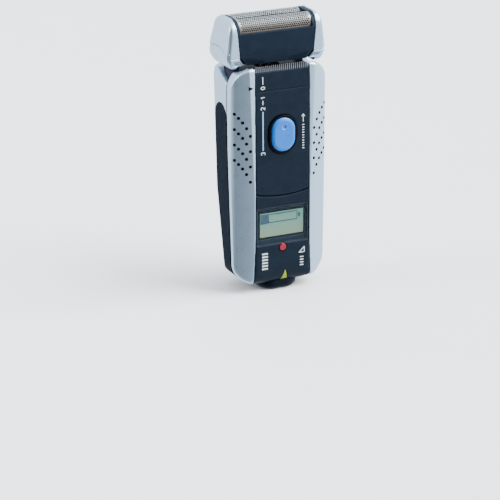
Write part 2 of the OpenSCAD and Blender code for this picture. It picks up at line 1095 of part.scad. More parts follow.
module release_button(s) {
    difference() {
        intersection() {
            head();
            bar_x(release_y, release_z, release_r - 0.15, -far, far);
            union() {
                side(s, button_in) block([-far, -far, 0], [far, far, far]);
                // Tongues that follow the skirt's slanted corners, front and rear
                side(s, 0)
                    along_y(-far, far)
                        polygon([for (p = [skirt_corner[0], skirt_corner[1], [far, split_z], [far, skirt_low]])
                                 [s * (p.x + press_room), p.y]]);
            }
        }
        head(wall);
        block([-button_in, -tongue_back, 0], [button_in, tongue_back, far]);
    }
}

module release_button_left() {
    color("lightsteelblue") release_button(-1);
}

module release_button_right() {
    color("lightsteelblue") release_button(1);
}

module release_spring(s) {
    difference() {
        bar_x(-1, 136, 1.3, s > 0 ? plate_out : -26.6, s > 0 ? 26.6 : -plate_out);
        bar_x(-1, 136, 0.8, -far, far);
    }
}

module release_spring_left() {
    color("silver") release_spring(-1);
}

module release_spring_right() {
    color("silver") release_spring(1);
}

// ---- Foil cassette -------------------------------------------------------

foil_t = 0.25;
foil_low = 149.9;
front_foil_y = -6.3;
rear_foil_y = 5.7;
liner_in = 21.9;

liner_profile = [
    [-head_front, sleeve_high + 0.3, 0],
    [head_rear, sleeve_high + 0.3, 0],
    [head_rear - 1.6, 157.2, 7],
    [-head_front, 157.2, 9]
];

module foil_frame() {
    color("black")
        intersection() {
            between_caps(cassette_half);
            union() {
                difference() {
                    block([-far, -head_front, split_z + 0.2], [far, head_rear, foil_low]);
                    block([-far, -head_front + shell_t, 0], [far, head_rear - shell_t, far]);
                }
                for (s = [-1, 1])
                    side(s, liner_in)
                        along_x(-far, far) outline(liner_profile);
                // Ledges that the foils' outer edges rest on
                block([-far, -head_front, 148.9], [far, front_foil_y - foil_r + 0.15, foil_low]);
                block([-far, rear_foil_y + foil_r - 0.15, 148.9], [far, head_rear, foil_low]);
            }
        }
}

// An arch on two short upright legs
module foil(y) {
    difference() {
        union() {
            bar_x(y, foil_z, foil_r, -liner_in, liner_in);
            block([-liner_in, y - foil_r, foil_low], [liner_in, y + foil_r, foil_z]);
        }
        bar_x(y, foil_z, foil_r - foil_t, -far, far);
        block([-far, y - foil_r + foil_t, 0], [far, y + foil_r - foil_t, foil_z]);
        block([-far, -far, 0], [far, far, foil_low]);
    }
}

module front_foil() {
    color("silver") foil(front_foil_y);
}

module rear_foil() {
    color("silver") foil(rear_foil_y);
}

module centre_trimmer() {
    color("gray")
        block([-liner_in, front_foil_y + foil_r + 0.05, 152], [liner_in, rear_foil_y - foil_r - 0.05, 156]);
}

// ---- Cutters -------------------------------------------------------------

block_half = 20;
lamellae = 24;
lamella_t = 0.5;
carrier_high = 147.4;
spine_low = 149;

module cutter_block(y) {
    union() {
        block([-block_half, y - 1.6, spine_low], [block_half, y + 1.6, 153]);
        for (i = [0:lamellae - 1])
            translate([-block_half + i * (2 * block_half - lamella_t) / (lamellae - 1), 0, 0])
                intersection() {
                    bar_x(y, foil_z, foil_r - foil_t - 0.3, 0, lamella_t);
                    block([-1, -far, foil_low + 0.6], [far, far, far]);
                }
    }
}

module cutter_block_front() {
    color("silver") cutter_block(front_foil_y);
}

module cutter_block_rear() {
    color("silver") cutter_block(rear_foil_y);
}

module cutter_carrier() {
    color("ivory")
        difference() {
            union() {
                block([-15, -9.8, 142.4], [15, 8.8, carrier_high]);
                block([-3.4, -4.6, 136.6], [3.4, 4.6, 143]);
            }
            // Slot for the drive pin's ball, open along the tilt
            block([-ball_r - 0.05, -3.4, 0], [ball_r + 0.05, 3.4, 141.6]);
        }
}

module cutter_springs() {
    color("silver")
        for (y = [front_foil_y, rear_foil_y])
            for (x = [-10, 10])
                translate([x, y, carrier_high])
                    difference() {
                        cylinder(r = 1.5, h = spine_low - carrier_high);
                        translate([0, 0, -1]) cylinder(r = 0.9, h = 10);
                    }
}

// ---- Nodes ---------------------------------------------------------------

front_shell_left();
front_shell_right();
grip_studs();
rear_shell();
rear_grip();
housing_gasket();
mid_frame();
front_panel();
display_lens();
lcd_module();
charge_lens();
status_lens();
circuit_board();
battery_cells();
battery_straps();
motor();
motor_bracket();
power_socket();
socket_pins();
base_cap();
charging_contacts();
housing_screws();
seal_bellows();
pivot_pins();
slide_panel();
trimmer_cover();
trimmer_comb();
button_bezel();
lock_spring();
lock_button();
trimmer_cutter();
motor_shaft();
eccentric();
drive_bridge();
drive_pin();
head_frame();
side_cap_left();
side_cap_right();
release_spring_left();
release_spring_right();
release_button_left();
release_button_right();
foil_frame();
front_foil();
rear_foil();
centre_trimmer();
cutter_carrier();
cutter_block_front();
cutter_block_rear();
cutter_springs();
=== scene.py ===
import json
import math

import bmesh
import bpy
import numpy as np
from mathutils import Matrix, Vector
from mathutils.bvhtree import BVHTree

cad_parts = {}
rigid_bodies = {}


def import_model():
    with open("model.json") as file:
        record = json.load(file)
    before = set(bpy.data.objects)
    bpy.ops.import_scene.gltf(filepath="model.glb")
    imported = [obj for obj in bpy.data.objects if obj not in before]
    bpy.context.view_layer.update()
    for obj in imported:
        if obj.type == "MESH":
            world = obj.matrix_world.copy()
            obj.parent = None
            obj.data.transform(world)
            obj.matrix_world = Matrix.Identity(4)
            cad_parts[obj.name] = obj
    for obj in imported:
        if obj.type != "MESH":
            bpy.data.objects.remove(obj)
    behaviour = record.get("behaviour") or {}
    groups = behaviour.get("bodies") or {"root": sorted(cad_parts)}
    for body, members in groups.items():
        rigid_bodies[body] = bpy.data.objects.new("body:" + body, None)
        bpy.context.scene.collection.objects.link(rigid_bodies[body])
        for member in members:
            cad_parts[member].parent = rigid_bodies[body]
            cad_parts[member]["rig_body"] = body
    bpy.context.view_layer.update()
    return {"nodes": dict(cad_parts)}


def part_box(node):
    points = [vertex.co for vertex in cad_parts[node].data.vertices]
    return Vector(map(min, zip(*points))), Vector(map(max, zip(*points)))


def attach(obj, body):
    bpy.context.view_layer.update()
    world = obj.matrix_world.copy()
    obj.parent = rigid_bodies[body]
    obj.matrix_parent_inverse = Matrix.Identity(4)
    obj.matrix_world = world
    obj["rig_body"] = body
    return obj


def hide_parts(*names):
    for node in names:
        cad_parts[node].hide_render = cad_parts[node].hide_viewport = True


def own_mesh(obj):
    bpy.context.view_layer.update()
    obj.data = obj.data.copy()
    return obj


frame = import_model()
MM = 0.001

# ---- Camera ----

CAMERA_TURN = math.radians(25)
CAMERA_TILT = math.radians(20.176)
CAMERA_DISTANCE = 1307.6
CAMERA_OFFSET = (9.25, 108.55)
CAMERA_PIVOT_Z = 132.5
LENS = 168.68


def camera():
    """The photo's viewpoint: turned and tilted about a point on the axis, then moved across the picture."""
    ca, sa = math.cos(CAMERA_TURN), math.sin(CAMERA_TURN)
    ct, st = math.cos(CAMERA_TILT), math.sin(CAMERA_TILT)
    ahead = Vector((sa * ct, ca * ct, -st))
    right = Vector((ca, -sa, 0))
    up = right.cross(ahead)
    place = -CAMERA_DISTANCE * ahead - CAMERA_OFFSET[0] * right - CAMERA_OFFSET[1] * up
    place.z += CAMERA_PIVOT_Z
    data = bpy.data.cameras.new("camera")
    data.lens = LENS
    data.clip_end = 20
    cam = bpy.data.objects.new("camera", data)
    turn = Matrix((right, up, -ahead)).transposed().to_4x4()
    cam.matrix_world = Matrix.Translation(place * MM) @ turn
    bpy.context.scene.collection.objects.link(cam)
    bpy.context.scene.camera = cam


camera()

# ---- Stage ----

SKY_COLOUR = (0.84, 0.92, 1.0, 1)
SKY_BRIGHT, SKY_DIM = 2.0, 0.15
DIM_SIDE = (-0.66, -0.75, 0.0)
DIM_FROM, DIM_TO = 0.2, 1.0
SUN_TURN, SUN_RISE, SUN_SPREAD, SUN_POWER = 62, 45, 45, 7.5
RIM_PLACE, RIM_AIM, RIM_SIZE, RIM_POWER = (-1.0, 0.25, 0.45), (0, 0, 0.1), (0.3, 0.9), 8


def area_light(name, place, aim, size, power):
    """A rectangular lamp at that place, in metres, that points at aim."""
    data = bpy.data.lights.new(name, "AREA")
    data.shape = "RECTANGLE"
    data.size, data.size_y = size
    data.energy = power
    lamp = bpy.data.objects.new(name, data)
    lamp.location = place
    lamp.rotation_euler = (Vector(aim) - Vector(place)).to_track_quat("-Z", "Y").to_euler()
    bpy.context.scene.collection.objects.link(lamp)


def sun(turn, rise, spread, power):
    """A broad, distant light: turn is its bearing from the front, towards the right."""
    data = bpy.data.lights.new("sun", "SUN")
    data.energy = power
    data.angle = math.radians(spread)
    lamp = bpy.data.objects.new("sun", data)
    bearing, height = math.radians(turn), math.radians(rise)
    level = math.cos(height)
    away = Vector((math.sin(bearing) * level, -math.cos(bearing) * level, math.sin(height)))
    lamp.rotation_euler = (-away).to_track_quat("-Z", "Y").to_euler()
    bpy.context.scene.collection.objects.link(lamp)


def room():
    """The world: pale all round, and dimmer towards the front left."""
    world = bpy.data.worlds.new("studio")
    world.use_nodes = True
    tree = world.node_tree
    light = tree.nodes["Background"]
    light.inputs["Color"].default_value = SKY_COLOUR
    way = tree.nodes.new("ShaderNodeTexCoord").outputs["Generated"]
    facing = tree.nodes.new("ShaderNodeVectorMath")
    facing.operation = "DOT_PRODUCT"
    facing.inputs[1].default_value = DIM_SIDE
    level = tree.nodes.new("ShaderNodeMapRange")
    level.interpolation_type = "SMOOTHSTEP"
    level.inputs["From Min"].default_value = DIM_FROM
    level.inputs["From Max"].default_value = DIM_TO
    level.inputs["To Min"].default_value = SKY_BRIGHT
    level.inputs["To Max"].default_value = SKY_DIM
    tree.links.new(way, facing.inputs[0])
    tree.links.new(facing.outputs["Value"], level.inputs["Value"])
    tree.links.new(level.outputs["Result"], light.inputs["Strength"])
    bpy.context.scene.world = world


def studio():
    """The pale room, a broad light from the right, and a faint one behind the left edge."""
    room()
    sun(SUN_TURN, SUN_RISE, SUN_SPREAD, SUN_POWER)
    area_light("rim", RIM_PLACE, RIM_AIM, RIM_SIZE, RIM_POWER)


studio()

# ---- Outlines of the handle and the head, in millimetres, as in the CAD ----

FAR = 200
BODY_HALF, BODY_TOP, BODY_BOTTOM = 29.7, 131.8, 4.2
REAR_HALF = BODY_HALF - 0.3
FRONT, REAR, STRIP_HALF = 22, 14, 16.8
PANEL_DROP, REAR_DROP, BEYOND = 6, 1.6, 50
LEAN, LEAN_Z = 3.4, 110


def both_sides(points):
    """The right half of an outline, corners [x, y, radius], with its mirror image added."""
    return points + [(-x, y, r) for x, y, r in reversed(points) if x != 0]


HANDLE_FRONT = both_sides(
    [
        (0, BODY_BOTTOM - 0.7, 100),
        (BODY_HALF - 1.5, BODY_BOTTOM + 2.7, 12),
        (BODY_HALF, 100, 150),
        (BODY_HALF - 0.9, BODY_TOP, 12),
    ]
)
HANDLE_SECTION_FRONT = [
    (BODY_HALF, FAR, 0),
    (-BODY_HALF, FAR, 0),
    (-BODY_HALF, -FRONT + PANEL_DROP, 5),
    (-STRIP_HALF, -FRONT, 7),
    (STRIP_HALF, -FRONT, 7),
    (BODY_HALF, -FRONT + PANEL_DROP, 5),
]
HANDLE_SECTION_REAR = [
    (-REAR_HALF, -FAR, 0),
    (REAR_HALF, -FAR, 0),
    (REAR_HALF, REAR - REAR_DROP, 9),
    (0, REAR + 0.6, 60),
    (-REAR_HALF, REAR - REAR_DROP, 9),
]
HANDLE_PROFILE = [
    (-FRONT, BODY_BOTTOM - 1, 8),
    (BEYOND, BODY_BOTTOM - 1, 0),
    (BEYOND, BODY_TOP + 1, 0),
    (-FRONT + 1.6, BODY_TOP + 1, 0),
    (-FRONT, 45, 150),
]
REAR_FOOT = REAR + 0.4 - (LEAN_Z - BODY_BOTTOM) * math.tan(math.radians(LEAN))
REAR_UNDERSIDE = [
    (-BEYOND, BODY_BOTTOM - 0.6, 0),
    (REAR_FOOT, BODY_BOTTOM - 0.6, 8),
    (REAR_FOOT, FAR, 0),
    (-BEYOND, FAR, 0),
]
HEAD_HALF, HEAD_DEEP, HEAD_TOP = 30.3, 13.6, 158.3
HEAD_OUTLINE = both_sides(
    [
        (0, 129.6, 100),
        (27.4, 129.7, 4),
        (HEAD_HALF, 136.6, 5),
        (28.5, 151, 25),
        (27.6, HEAD_TOP, 5.5),
        (0, HEAD_TOP + 0.1, 0),
    ]
)
HEAD_PROFILE = [
    (-1.2, 128.6, 40),
    (11.9, 130.6, 5),
    (HEAD_DEEP, 138.5, 12),
    (8.2, HEAD_TOP, 8),
    (-HEAD_DEEP, HEAD_TOP, 9.5),
    (-HEAD_DEEP, 130.2, 5),
]
HEAD_SECTION = [
    (HEAD_HALF, -HEAD_DEEP, 2.5),
    (HEAD_HALF, HEAD_DEEP, 4.5),
    (-HEAD_HALF, HEAD_DEEP, 4.5),
    (-HEAD_HALF, -HEAD_DEEP, 2.5),
]
CORNER_TURN, CORNER_DRAW, CORNER_OUT, CORNER_Z = math.radians(25), math.radians(5), 27.2, 52


def rear_corners():
    """The leaning planes that draw the rear corners in towards the base."""
    flat, down = math.cos(CORNER_DRAW), -math.sin(CORNER_DRAW)
    normals = [(s * math.cos(CORNER_TURN) * flat, math.sin(CORNER_TURN) * flat, down) for s in (1, -1)]
    return np.array(normals), np.array([CORNER_OUT + down * CORNER_Z] * 2)


def unit(v):
    return v / np.linalg.norm(v)


def unit_rows(v):
    return v / np.linalg.norm(v, axis=1)[:, None]


def turned(v, angle):
    c, s = math.cos(angle), math.sin(angle)
    return np.array((v[0] * c - v[1] * s, v[0] * s + v[1] * c))


def rounded(points, step=3):
    """The corners [x, y, radius] of a convex outline as a polyline, an arc's chords step degrees long."""
    made = []
    count = len(points)
    for i, (x, y, r) in enumerate(points):
        p = np.array((x, y), float)
        if r == 0:
            made.append(p)
            continue
        u = unit(np.array(points[i - 1][:2], float) - p)
        v = unit(np.array(points[(i + 1) % count][:2], float) - p)
        half = math.acos(max(-1, min(1, u @ v))) / 2
        centre = p + unit(u + v) * r / math.sin(half)
        start = p + u * r / math.tan(half) - centre
        end = p + v * r / math.tan(half) - centre
        sweep = math.atan2(start[0] * end[1] - start[1] * end[0], start @ end)
        steps = max(3, math.ceil(math.degrees(abs(sweep)) / step))
        made += [centre + turned(start, sweep * k / steps) for k in range(steps + 1)]
    return np.array(made)


def prism(points, across, up):
    """An endless bar with that outline: its faces' normals and distances. across and up are its axes."""
    ring = rounded(points)
    following = np.roll(ring, -1, 0)
    if np.sum(ring[:, 0] * following[:, 1] - following[:, 0] * ring[:, 1]) < 0:
        ring = ring[::-1]
    edge = np.roll(ring, -1, 0) - ring
    long = np.linalg.norm(edge, axis=1) > 1e-6
    ring, edge = ring[long], edge[long]
    flat = unit_rows(np.stack((edge[:, 1], -edge[:, 0]), 1))
    normals = flat[:, :1] * np.array(across, float) + flat[:, 1:] * np.array(up, float)
    return normals, (flat * ring).sum(1)


def leaning(points, across_x, pivot_z):
    """A bar in the rear housing's own axes, which lean about the height pivot_z."""
    c, s = math.cos(math.radians(LEAN)), math.sin(math.radians(LEAN))
    ahead, rise = np.array((0, c, -s)), np.array((0, s, c))
    if across_x:
        normals, offsets = prism(points, X, ahead)
    else:
        normals, offsets = prism([(y, z - pivot_z, r) for y, z, r in points], ahead, rise)
    return normals, offsets + normals @ np.array((0, 0, pivot_z))


X, Y, Z = (1, 0, 0), (0, 1, 0), (0, 0, 1)
HANDLE = [
    prism(HANDLE_FRONT, X, Z),
    prism(HANDLE_SECTION_FRONT, X, Y),
    leaning(HANDLE_SECTION_REAR, True, LEAN_Z),
    prism(HANDLE_PROFILE, Y, Z),
    leaning(REAR_UNDERSIDE, False, BODY_BOTTOM),
    rear_corners(),
]
HEAD = [prism(HEAD_OUTLINE, X, Z), prism(HEAD_PROFILE, Y, Z), prism(HEAD_SECTION, X, Y)]


def depths(shape, co):
    """How far each point is outside each bar, and the normals there."""
    found = []
    for normals, offsets in shape:
        away = co @ normals.T - offsets
        pick = away.argmax(1)
        found.append((away[np.arange(len(co)), pick], normals[pick]))
    return found


def snapped(co, shape, near=0.15, far=0.25):
    """Puts points that are close to the shape's surface exactly on it."""
    found = depths(shape, co)
    away = np.array([f for f, _ in found])
    pick = away.argmax(0)
    outer = away.max(0)
    normals = np.array([n for _, n in found])[pick, np.arange(len(co))]
    weight = np.clip((far - np.abs(outer)) / (far - near), 0, 1)
    return co - normals * (weight * outer)[:, None]


def roll_edges(co, shape, reach, depth=3.5):
    """Moves points near the shape's long edges inward, so that the edges roll over softly."""
    co = snapped(co, shape)
    found = depths(shape, co)
    outer = np.max([f for f, _ in found], 0)
    weights = [np.clip(1 - (outer - f) / reach, 0, 1) ** 2 for f, _ in found]
    mean = sum(w[:, None] * n for w, (_, n) in zip(weights, found)) / sum(weights)[:, None]
    bump = np.zeros(len(co))
    for i in range(len(found)):
        for j in range(i):
            turn = 1 - (found[i][1] * found[j][1]).sum(1)
            bump = np.maximum(bump, weights[i] * weights[j] * turn * reach / 4)
    bump *= np.clip(1 + (outer + depth) / depth, 0, 1)
    return co - mean * (bump / (mean**2).sum(1))[:, None]

# ---- Mesh helpers ----


def new_piece(name, mesh, body, material, smooth=True):
    """An object that rides on that body and takes its finish from that slot."""
    piece = bpy.data.objects.new(name, mesh)
    bpy.context.scene.collection.objects.link(piece)
    mesh.materials.clear()
    mesh.materials.append(material)
    for p in mesh.polygons:
        p.use_smooth = smooth
    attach(piece, body)
    return piece


def mesh_of(verts, faces):
    """A mesh from points in millimetres."""
    mesh = bpy.data.meshes.new("mesh")
    mesh.from_pydata([(x * MM, y * MM, z * MM) for x, y, z in verts], [], faces)
    mesh.validate()
    return mesh


def co_of(mesh):
    """The mesh's points, in millimetres."""
    co = np.empty(len(mesh.vertices) * 3, np.float32)
    mesh.vertices.foreach_get("co", co)
    return co.reshape(-1, 3).astype(float) / MM


def set_co(mesh, co):
    """Moves the mesh's points to those places, in millimetres."""
    mesh.vertices.foreach_set("co", (co * MM).astype(np.float32).ravel())
    mesh.update()


def body_of(node):
    return frame["nodes"][node]["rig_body"]


MM_PER_METRE = 1000
SKINS = {}


def remeshed(node, extra, voxel, passes):
    """The CAD node's mesh, joined with the extra one, as fine even quads with softened corners."""
    work = bmesh.new()
    work.from_mesh(frame["nodes"][node].data)
    if extra:
        work.from_mesh(extra)
    mesh = bpy.data.meshes.new("source")
    work.to_mesh(mesh)
    work.free()
    source = bpy.data.objects.new("source", mesh)
    bpy.context.scene.collection.objects.link(source)
    remesh = source.modifiers.new("remesh", "REMESH")
    remesh.mode = "VOXEL"
    remesh.voxel_size = voxel * MM
    smooth = source.modifiers.new("smooth", "SMOOTH")
    smooth.factor = 0.5
    smooth.iterations = passes
    view = bpy.context.evaluated_depsgraph_get()
    made = bpy.data.meshes.new_from_object(source.evaluated_get(view))
    bpy.data.objects.remove(source)
    return made


def skin(node, material, voxel, passes, shape=None, reach=2.4, extra=None, carve=None):
    """A dense, soft-edged piece in place of a CAD node, rolled over the long edges of its shape."""
    mesh = remeshed(node, extra, voxel, passes)
    if shape:
        set_co(mesh, roll_edges(co_of(mesh), shape, reach))
    if carve:
        set_co(mesh, carve(co_of(mesh)))
    piece = new_piece(node + "_skin", mesh, body_of(node), material)
    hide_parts(node)
    points = [v.co * MM_PER_METRE for v in mesh.vertices]
    SKINS[node] = BVHTree.FromPolygons(points, [p.vertices for p in mesh.polygons])


BEVEL_ANGLE = math.radians(35)


def bevelled(piece, width, segments=2):
    bevel = piece.modifiers.new("bevel", "BEVEL")
    bevel.width = width * MM
    bevel.segments = segments
    bevel.limit_method = "ANGLE"
    bevel.angle_limit = BEVEL_ANGLE
    bevel.harden_normals = False

# ---- Materials ----

LOW, HIGH = 0.3, 0.7  # the values between which most of a noise texture lies


class Paint:
    """A Principled material that is built up node by node, in object space."""

    def __init__(self, name, colour, metallic=0.0, roughness=0.5, **sockets):
        self.material = bpy.data.materials.new(name)
        self.material.use_nodes = True
        self.tree = self.material.node_tree
        self.shader = self.tree.nodes["Principled BSDF"]
        self.shader.inputs["Base Color"].default_value = (*colour, 1)
        self.shader.inputs["Metallic"].default_value = metallic
        self.shader.inputs["Roughness"].default_value = roughness
        for key, value in sockets.items():
            self.shader.inputs[key.replace("_", " ")].default_value = value
        self.place = self.node("ShaderNodeTexCoord").outputs["Object"]
        self.normal = None

    def node(self, kind):
        return self.tree.nodes.new(kind)

    def link(self, a, b):
        self.tree.links.new(a, b)

    def noise(self, size, detail=2.0, stretch=(1, 1, 1)):
        """Noise whose features are about that many millimetres across."""
        scale = self.node("ShaderNodeMapping")
        scale.inputs["Scale"].default_value = stretch
        self.link(self.place, scale.inputs["Vector"])
        made = self.node("ShaderNodeTexNoise")
        made.inputs["Scale"].default_value = 1 / (size * MM)
        made.inputs["Detail"].default_value = detail
        self.link(scale.outputs["Vector"], made.inputs["Vector"])
        return made.outputs["Fac"]

    def cells(self, size):
        made = self.node("ShaderNodeTexVoronoi")
        made.inputs["Scale"].default_value = 1 / (size * MM)
        self.link(self.place, made.inputs["Vector"])
        return made.outputs["Distance"]

    def spread(self, value, low, high, start=LOW, end=HIGH):
        """A value that runs from low to high as the given one goes from start to end."""
        made = self.node("ShaderNodeMapRange")
        made.inputs["From Min"].default_value = start
        made.inputs["From Max"].default_value = end
        made.inputs["To Min"].default_value = low
        made.inputs["To Max"].default_value = high
        self.link(value, made.inputs["Value"])
        return made.outputs["Result"]

    def vary(self, value, shades):
        """Colour that runs through the shades as value goes from LOW to HIGH."""
        ramp = self.node("ShaderNodeValToRGB")
        for i, shade in enumerate(shades):
            at = LOW + (HIGH - LOW) * i / (len(shades) - 1)
            stop = ramp.color_ramp.elements[i] if i < 2 else ramp.color_ramp.elements.new(at)
            stop.position = at
            stop.color = (*shade, 1)
        self.link(value, ramp.inputs["Fac"])
        self.link(ramp.outputs["Color"], self.shader.inputs["Base Color"])
        return self

    def rough(self, value, low, high):
        self.link(self.spread(value, low, high), self.shader.inputs["Roughness"])
        return self

    def bump(self, value, height, strength=0.5):
        made = self.node("ShaderNodeBump")
        made.inputs["Strength"].default_value = strength
        made.inputs["Distance"].default_value = height * MM
        self.link(value, made.inputs["Height"])
        if self.normal:
            self.link(self.normal, made.inputs["Normal"])
        self.normal = made.outputs["Normal"]
        self.link(self.normal, self.shader.inputs["Normal"])
        return self


def shade(colour, factor):
    return tuple(min(1, c * factor) for c in colour)


FLAKE = 0.16


def lacquer(name, colour):
    """Metallic lacquer: fine flakes under a clear coat with a faint orange peel."""
    p = Paint(name, colour, metallic=0.7, roughness=0.3, Coat_Weight=0.2, Coat_Roughness=0.12)
    p.vary(p.noise(FLAKE, 1), [shade(colour, 0.98), colour, shade(colour, 1.02)])
    p.rough(p.noise(6), 0.26, 0.33)
    return p.bump(p.noise(1.6), 0.004, 0.2).bump(p.noise(0.15, 1), 0.0005, 0.08).material


def moulded(name, colour, roughness, grain=0.25, height=0.012, patch=1.12, **sockets):
    """Moulded plastic with a spark-eroded texture and slight unevenness."""
    p = Paint(name, colour, roughness=roughness, **sockets)
    p.vary(p.noise(5), [shade(colour, 1 / patch), colour, shade(colour, patch)])
    p.rough(p.noise(2.5), roughness - 0.05, roughness + 0.05)
    return p.bump(p.noise(grain, 3), height, 0.5).material


def rubber(name, colour, roughness=0.7):
    """Matt rubber with a pebbled skin and a finer grain over it."""
    p = Paint(name, colour, roughness=roughness, Specular_IOR_Level=0.04)
    p.vary(p.noise(7), [shade(colour, 0.85), colour, shade(colour, 1.2)])
    p.rough(p.noise(3), roughness - 0.06, roughness + 0.08)
    return p.bump(p.cells(0.45), 0.03, 0.5).bump(p.noise(0.12, 2), 0.008, 0.4).material


def steel(name, colour, roughness=0.25, along=(0.03, 1, 1), grain=0.05):
    """Ground or brushed steel, its marks drawn out along one axis."""
    p = Paint(name, colour, metallic=1.0, roughness=roughness)
    marks = p.noise(grain, 3, along)
    p.vary(marks, [shade(colour, 0.85), colour, shade(colour, 1.1)])
    p.rough(marks, roughness - 0.06, roughness + 0.1)
    return p.bump(marks, 0.003, 0.35).material


def clear(name, tint, alpha, roughness=0.04):
    """Tinted clear plastic, thin enough to show what is behind it."""
    p = Paint(name, tint, roughness=roughness, Alpha=alpha, Specular_IOR_Level=0.8)
    p.vary(p.noise(8), [shade(tint, 0.9), shade(tint, 1.1)])
    p.rough(p.noise(1.5), roughness, roughness + 0.05)
    return p.bump(p.noise(3), 0.002, 0.2).material


SILVER = lacquer("silver_lacquer", (0.47, 0.61, 0.76))
STRIP = moulded("strip_plastic", (0.0075, 0.014, 0.025), 0.46, height=0.004, Specular_IOR_Level=0.10)
HEAD_DARK = moulded("head_plastic", (0.0075, 0.015, 0.028), 0.5, height=0.006, Specular_IOR_Level=0.10)
FOOT = moulded("foot_plastic", (0.003, 0.006, 0.012), 0.5, height=0.006, Specular_IOR_Level=0.08)
FRAME = moulded("frame_plastic", (0.022, 0.020, 0.045), 0.5, Specular_IOR_Level=0.12)
BLACK = moulded("black_plastic", (0.002, 0.002, 0.003), 0.4, Specular_IOR_Level=0.08)
GRIP = rubber("grip_rubber", (0.006, 0.011, 0.020))
BLACK_RUBBER = rubber("black_rubber", (0.001, 0.001, 0.002))
BUTTON = moulded("button_plastic", (0.004, 0.19, 0.72), 0.3, height=0.006, patch=1.05)
BUTTON_RING = moulded("button_ring", (0.10, 0.34, 0.85), 0.3, height=0.004, patch=1.05)
LENS = clear("lens_plastic", (0.02, 0.06, 0.09), 0.12, 0.03)
# painted highlight: a lighter line that stands for the light on the lens's edge
LENS_EDGE_HIGHLIGHT = moulded("lens_edge_highlight", (0.03, 0.05, 0.08), 0.25, height=0.003)
LAMP = moulded("red_lamp", (0.30, 0.001, 0.018), 0.2, height=0.004)
SAIL = moulded("green_lamp", (0.36, 0.44, 0.012), 0.3, height=0.004)
DARK_BLADE = steel("hard_steel", (0.04, 0.04, 0.045), 0.35)
BLADE = steel("blade_steel", (0.42, 0.44, 0.46), 0.3)
PLATED = steel("plated_steel", (0.7, 0.7, 0.7), 0.18)
CAN = steel("motor_can", (0.5, 0.52, 0.54), 0.32, (1, 1, 0.05))
GOLD = steel("gold_plate", (0.85, 0.62, 0.25), 0.22)
IVORY = moulded("acetal", (0.75, 0.72, 0.6), 0.42)
BOARD = moulded("solder_mask", (0.012, 0.13, 0.05), 0.35)
SLEEVE = moulded("shrink_sleeve", (0.03, 0.14, 0.5), 0.35)
# painted shade for the dark line in the caps' grooves
GROOVE_SHADE = moulded("groove_shadow", (0.06, 0.09, 0.14), 0.5, grain=0.1, height=0.002)
WHITE_INK = moulded("white_ink", (0.82, 0.86, 0.88), 0.5, grain=0.1, height=0.002, patch=1.03)
BLUE_INK = moulded("blue_ink", (0.32, 0.52, 0.85), 0.5, grain=0.1, height=0.002, patch=1.03)
BLACK_INK = moulded(
    "black_ink", (0.002, 0.002, 0.003), 0.5,
    grain=0.1, height=0.002, Specular_IOR_Level=0.05,
)


def height_in(p, low, high):
    """How high a point is between two heights in metres, as a value for vary()."""
    split = p.node("ShaderNodeSeparateXYZ")
    p.link(p.place, split.inputs[0])
    return p.spread(split.outputs["Z"], LOW, HIGH, low, high)


def lcd_material():
    """The liquid crystal's grey green, a little yellower towards its foot."""
    p = Paint("lcd", (0.25, 0.46, 0.37), roughness=0.3, Specular_IOR_Level=0.2)
    height = height_in(p, 0.0325, 0.0470)
    p.vary(height, [(0.36, 0.45, 0.28), (0.25, 0.46, 0.36), (0.21, 0.45, 0.37)])
    return p.bump(p.noise(0.3), 0.002, 0.2).material


def foil_material():
    """Thin nickel foil with painted light: darker and warmer at its foot (painted shade), lighter and bluer
    on its crown (painted highlight).
    """
    p = Paint("foil_nickel", (0.4, 0.4, 0.4), metallic=0.6, roughness=0.36)
    height = height_in(p, 0.1500, 0.1566)
    # painted light: shaded foot, lit crown
    p.vary(height, [(0.20, 0.16, 0.135), (0.22, 0.21, 0.195), (0.28, 0.31, 0.33)])
    marks = p.noise(0.05, 3, (0.03, 1, 1))
    p.rough(marks, 0.3, 0.42)
    return p.bump(marks, 0.003, 0.3).material


LCD = lcd_material()
SEGMENT = moulded("lcd_segment", (0.005, 0.018, 0.025), 0.35, grain=0.1, height=0.001)
CELL = moulded("lcd_cell", (0.04, 0.10, 0.15), 0.35, grain=0.1, height=0.001)
FOIL = foil_material()

CARRIED = [
    (BLACK_RUBBER, ("grip_studs", "housing_gasket", "seal_bellows")),
    (FRAME, ("mid_frame",)),
    (LENS, ("display_lens",)),
    (SAIL, ("status_lens",)),
    (BLACK, ("lcd_module", "power_socket")),
    (BOARD, ("circuit_board",)),
    (SLEEVE, ("battery_cells",)),
    (CAN, ("motor", "motor_bracket")),
    (PLATED, ("battery_straps", "housing_screws", "pivot_pins")),
    (PLATED, ("motor_shaft", "drive_pin", "cutter_springs")),
    (GOLD, ("socket_pins", "charging_contacts", "eccentric")),
    (IVORY, ("drive_bridge", "cutter_carrier")),
    (DARK_BLADE, ("cutter_block_front", "cutter_block_rear")),
]


def carried_nodes():
    """The CAD nodes that keep their shape get their materials."""
    for material, nodes in CARRIED:
        for node in nodes:
            held = frame["nodes"][node].data.materials
            held.clear()
            held.append(material)


carried_nodes()

# ---- Housings, strip and head ----

CAP_HALF, CAP_FRONT, CAP_BACK, CAP_CORNER = 12.3, -20.4, 2.6, 9


def base_shape():
    """The boss under the handle: a rounded bar, cut off level at the floor."""
    ring = [
        (CAP_HALF, CAP_FRONT, CAP_CORNER),
        (CAP_HALF, CAP_BACK, CAP_CORNER),
        (-CAP_HALF, CAP_BACK, CAP_CORNER),
        (-CAP_HALF, CAP_FRONT, CAP_CORNER),
    ]
    underside = (np.array([[0, 0, -1.0]]), np.array([0.0]))
    return [prism(ring, X, Y), underside]


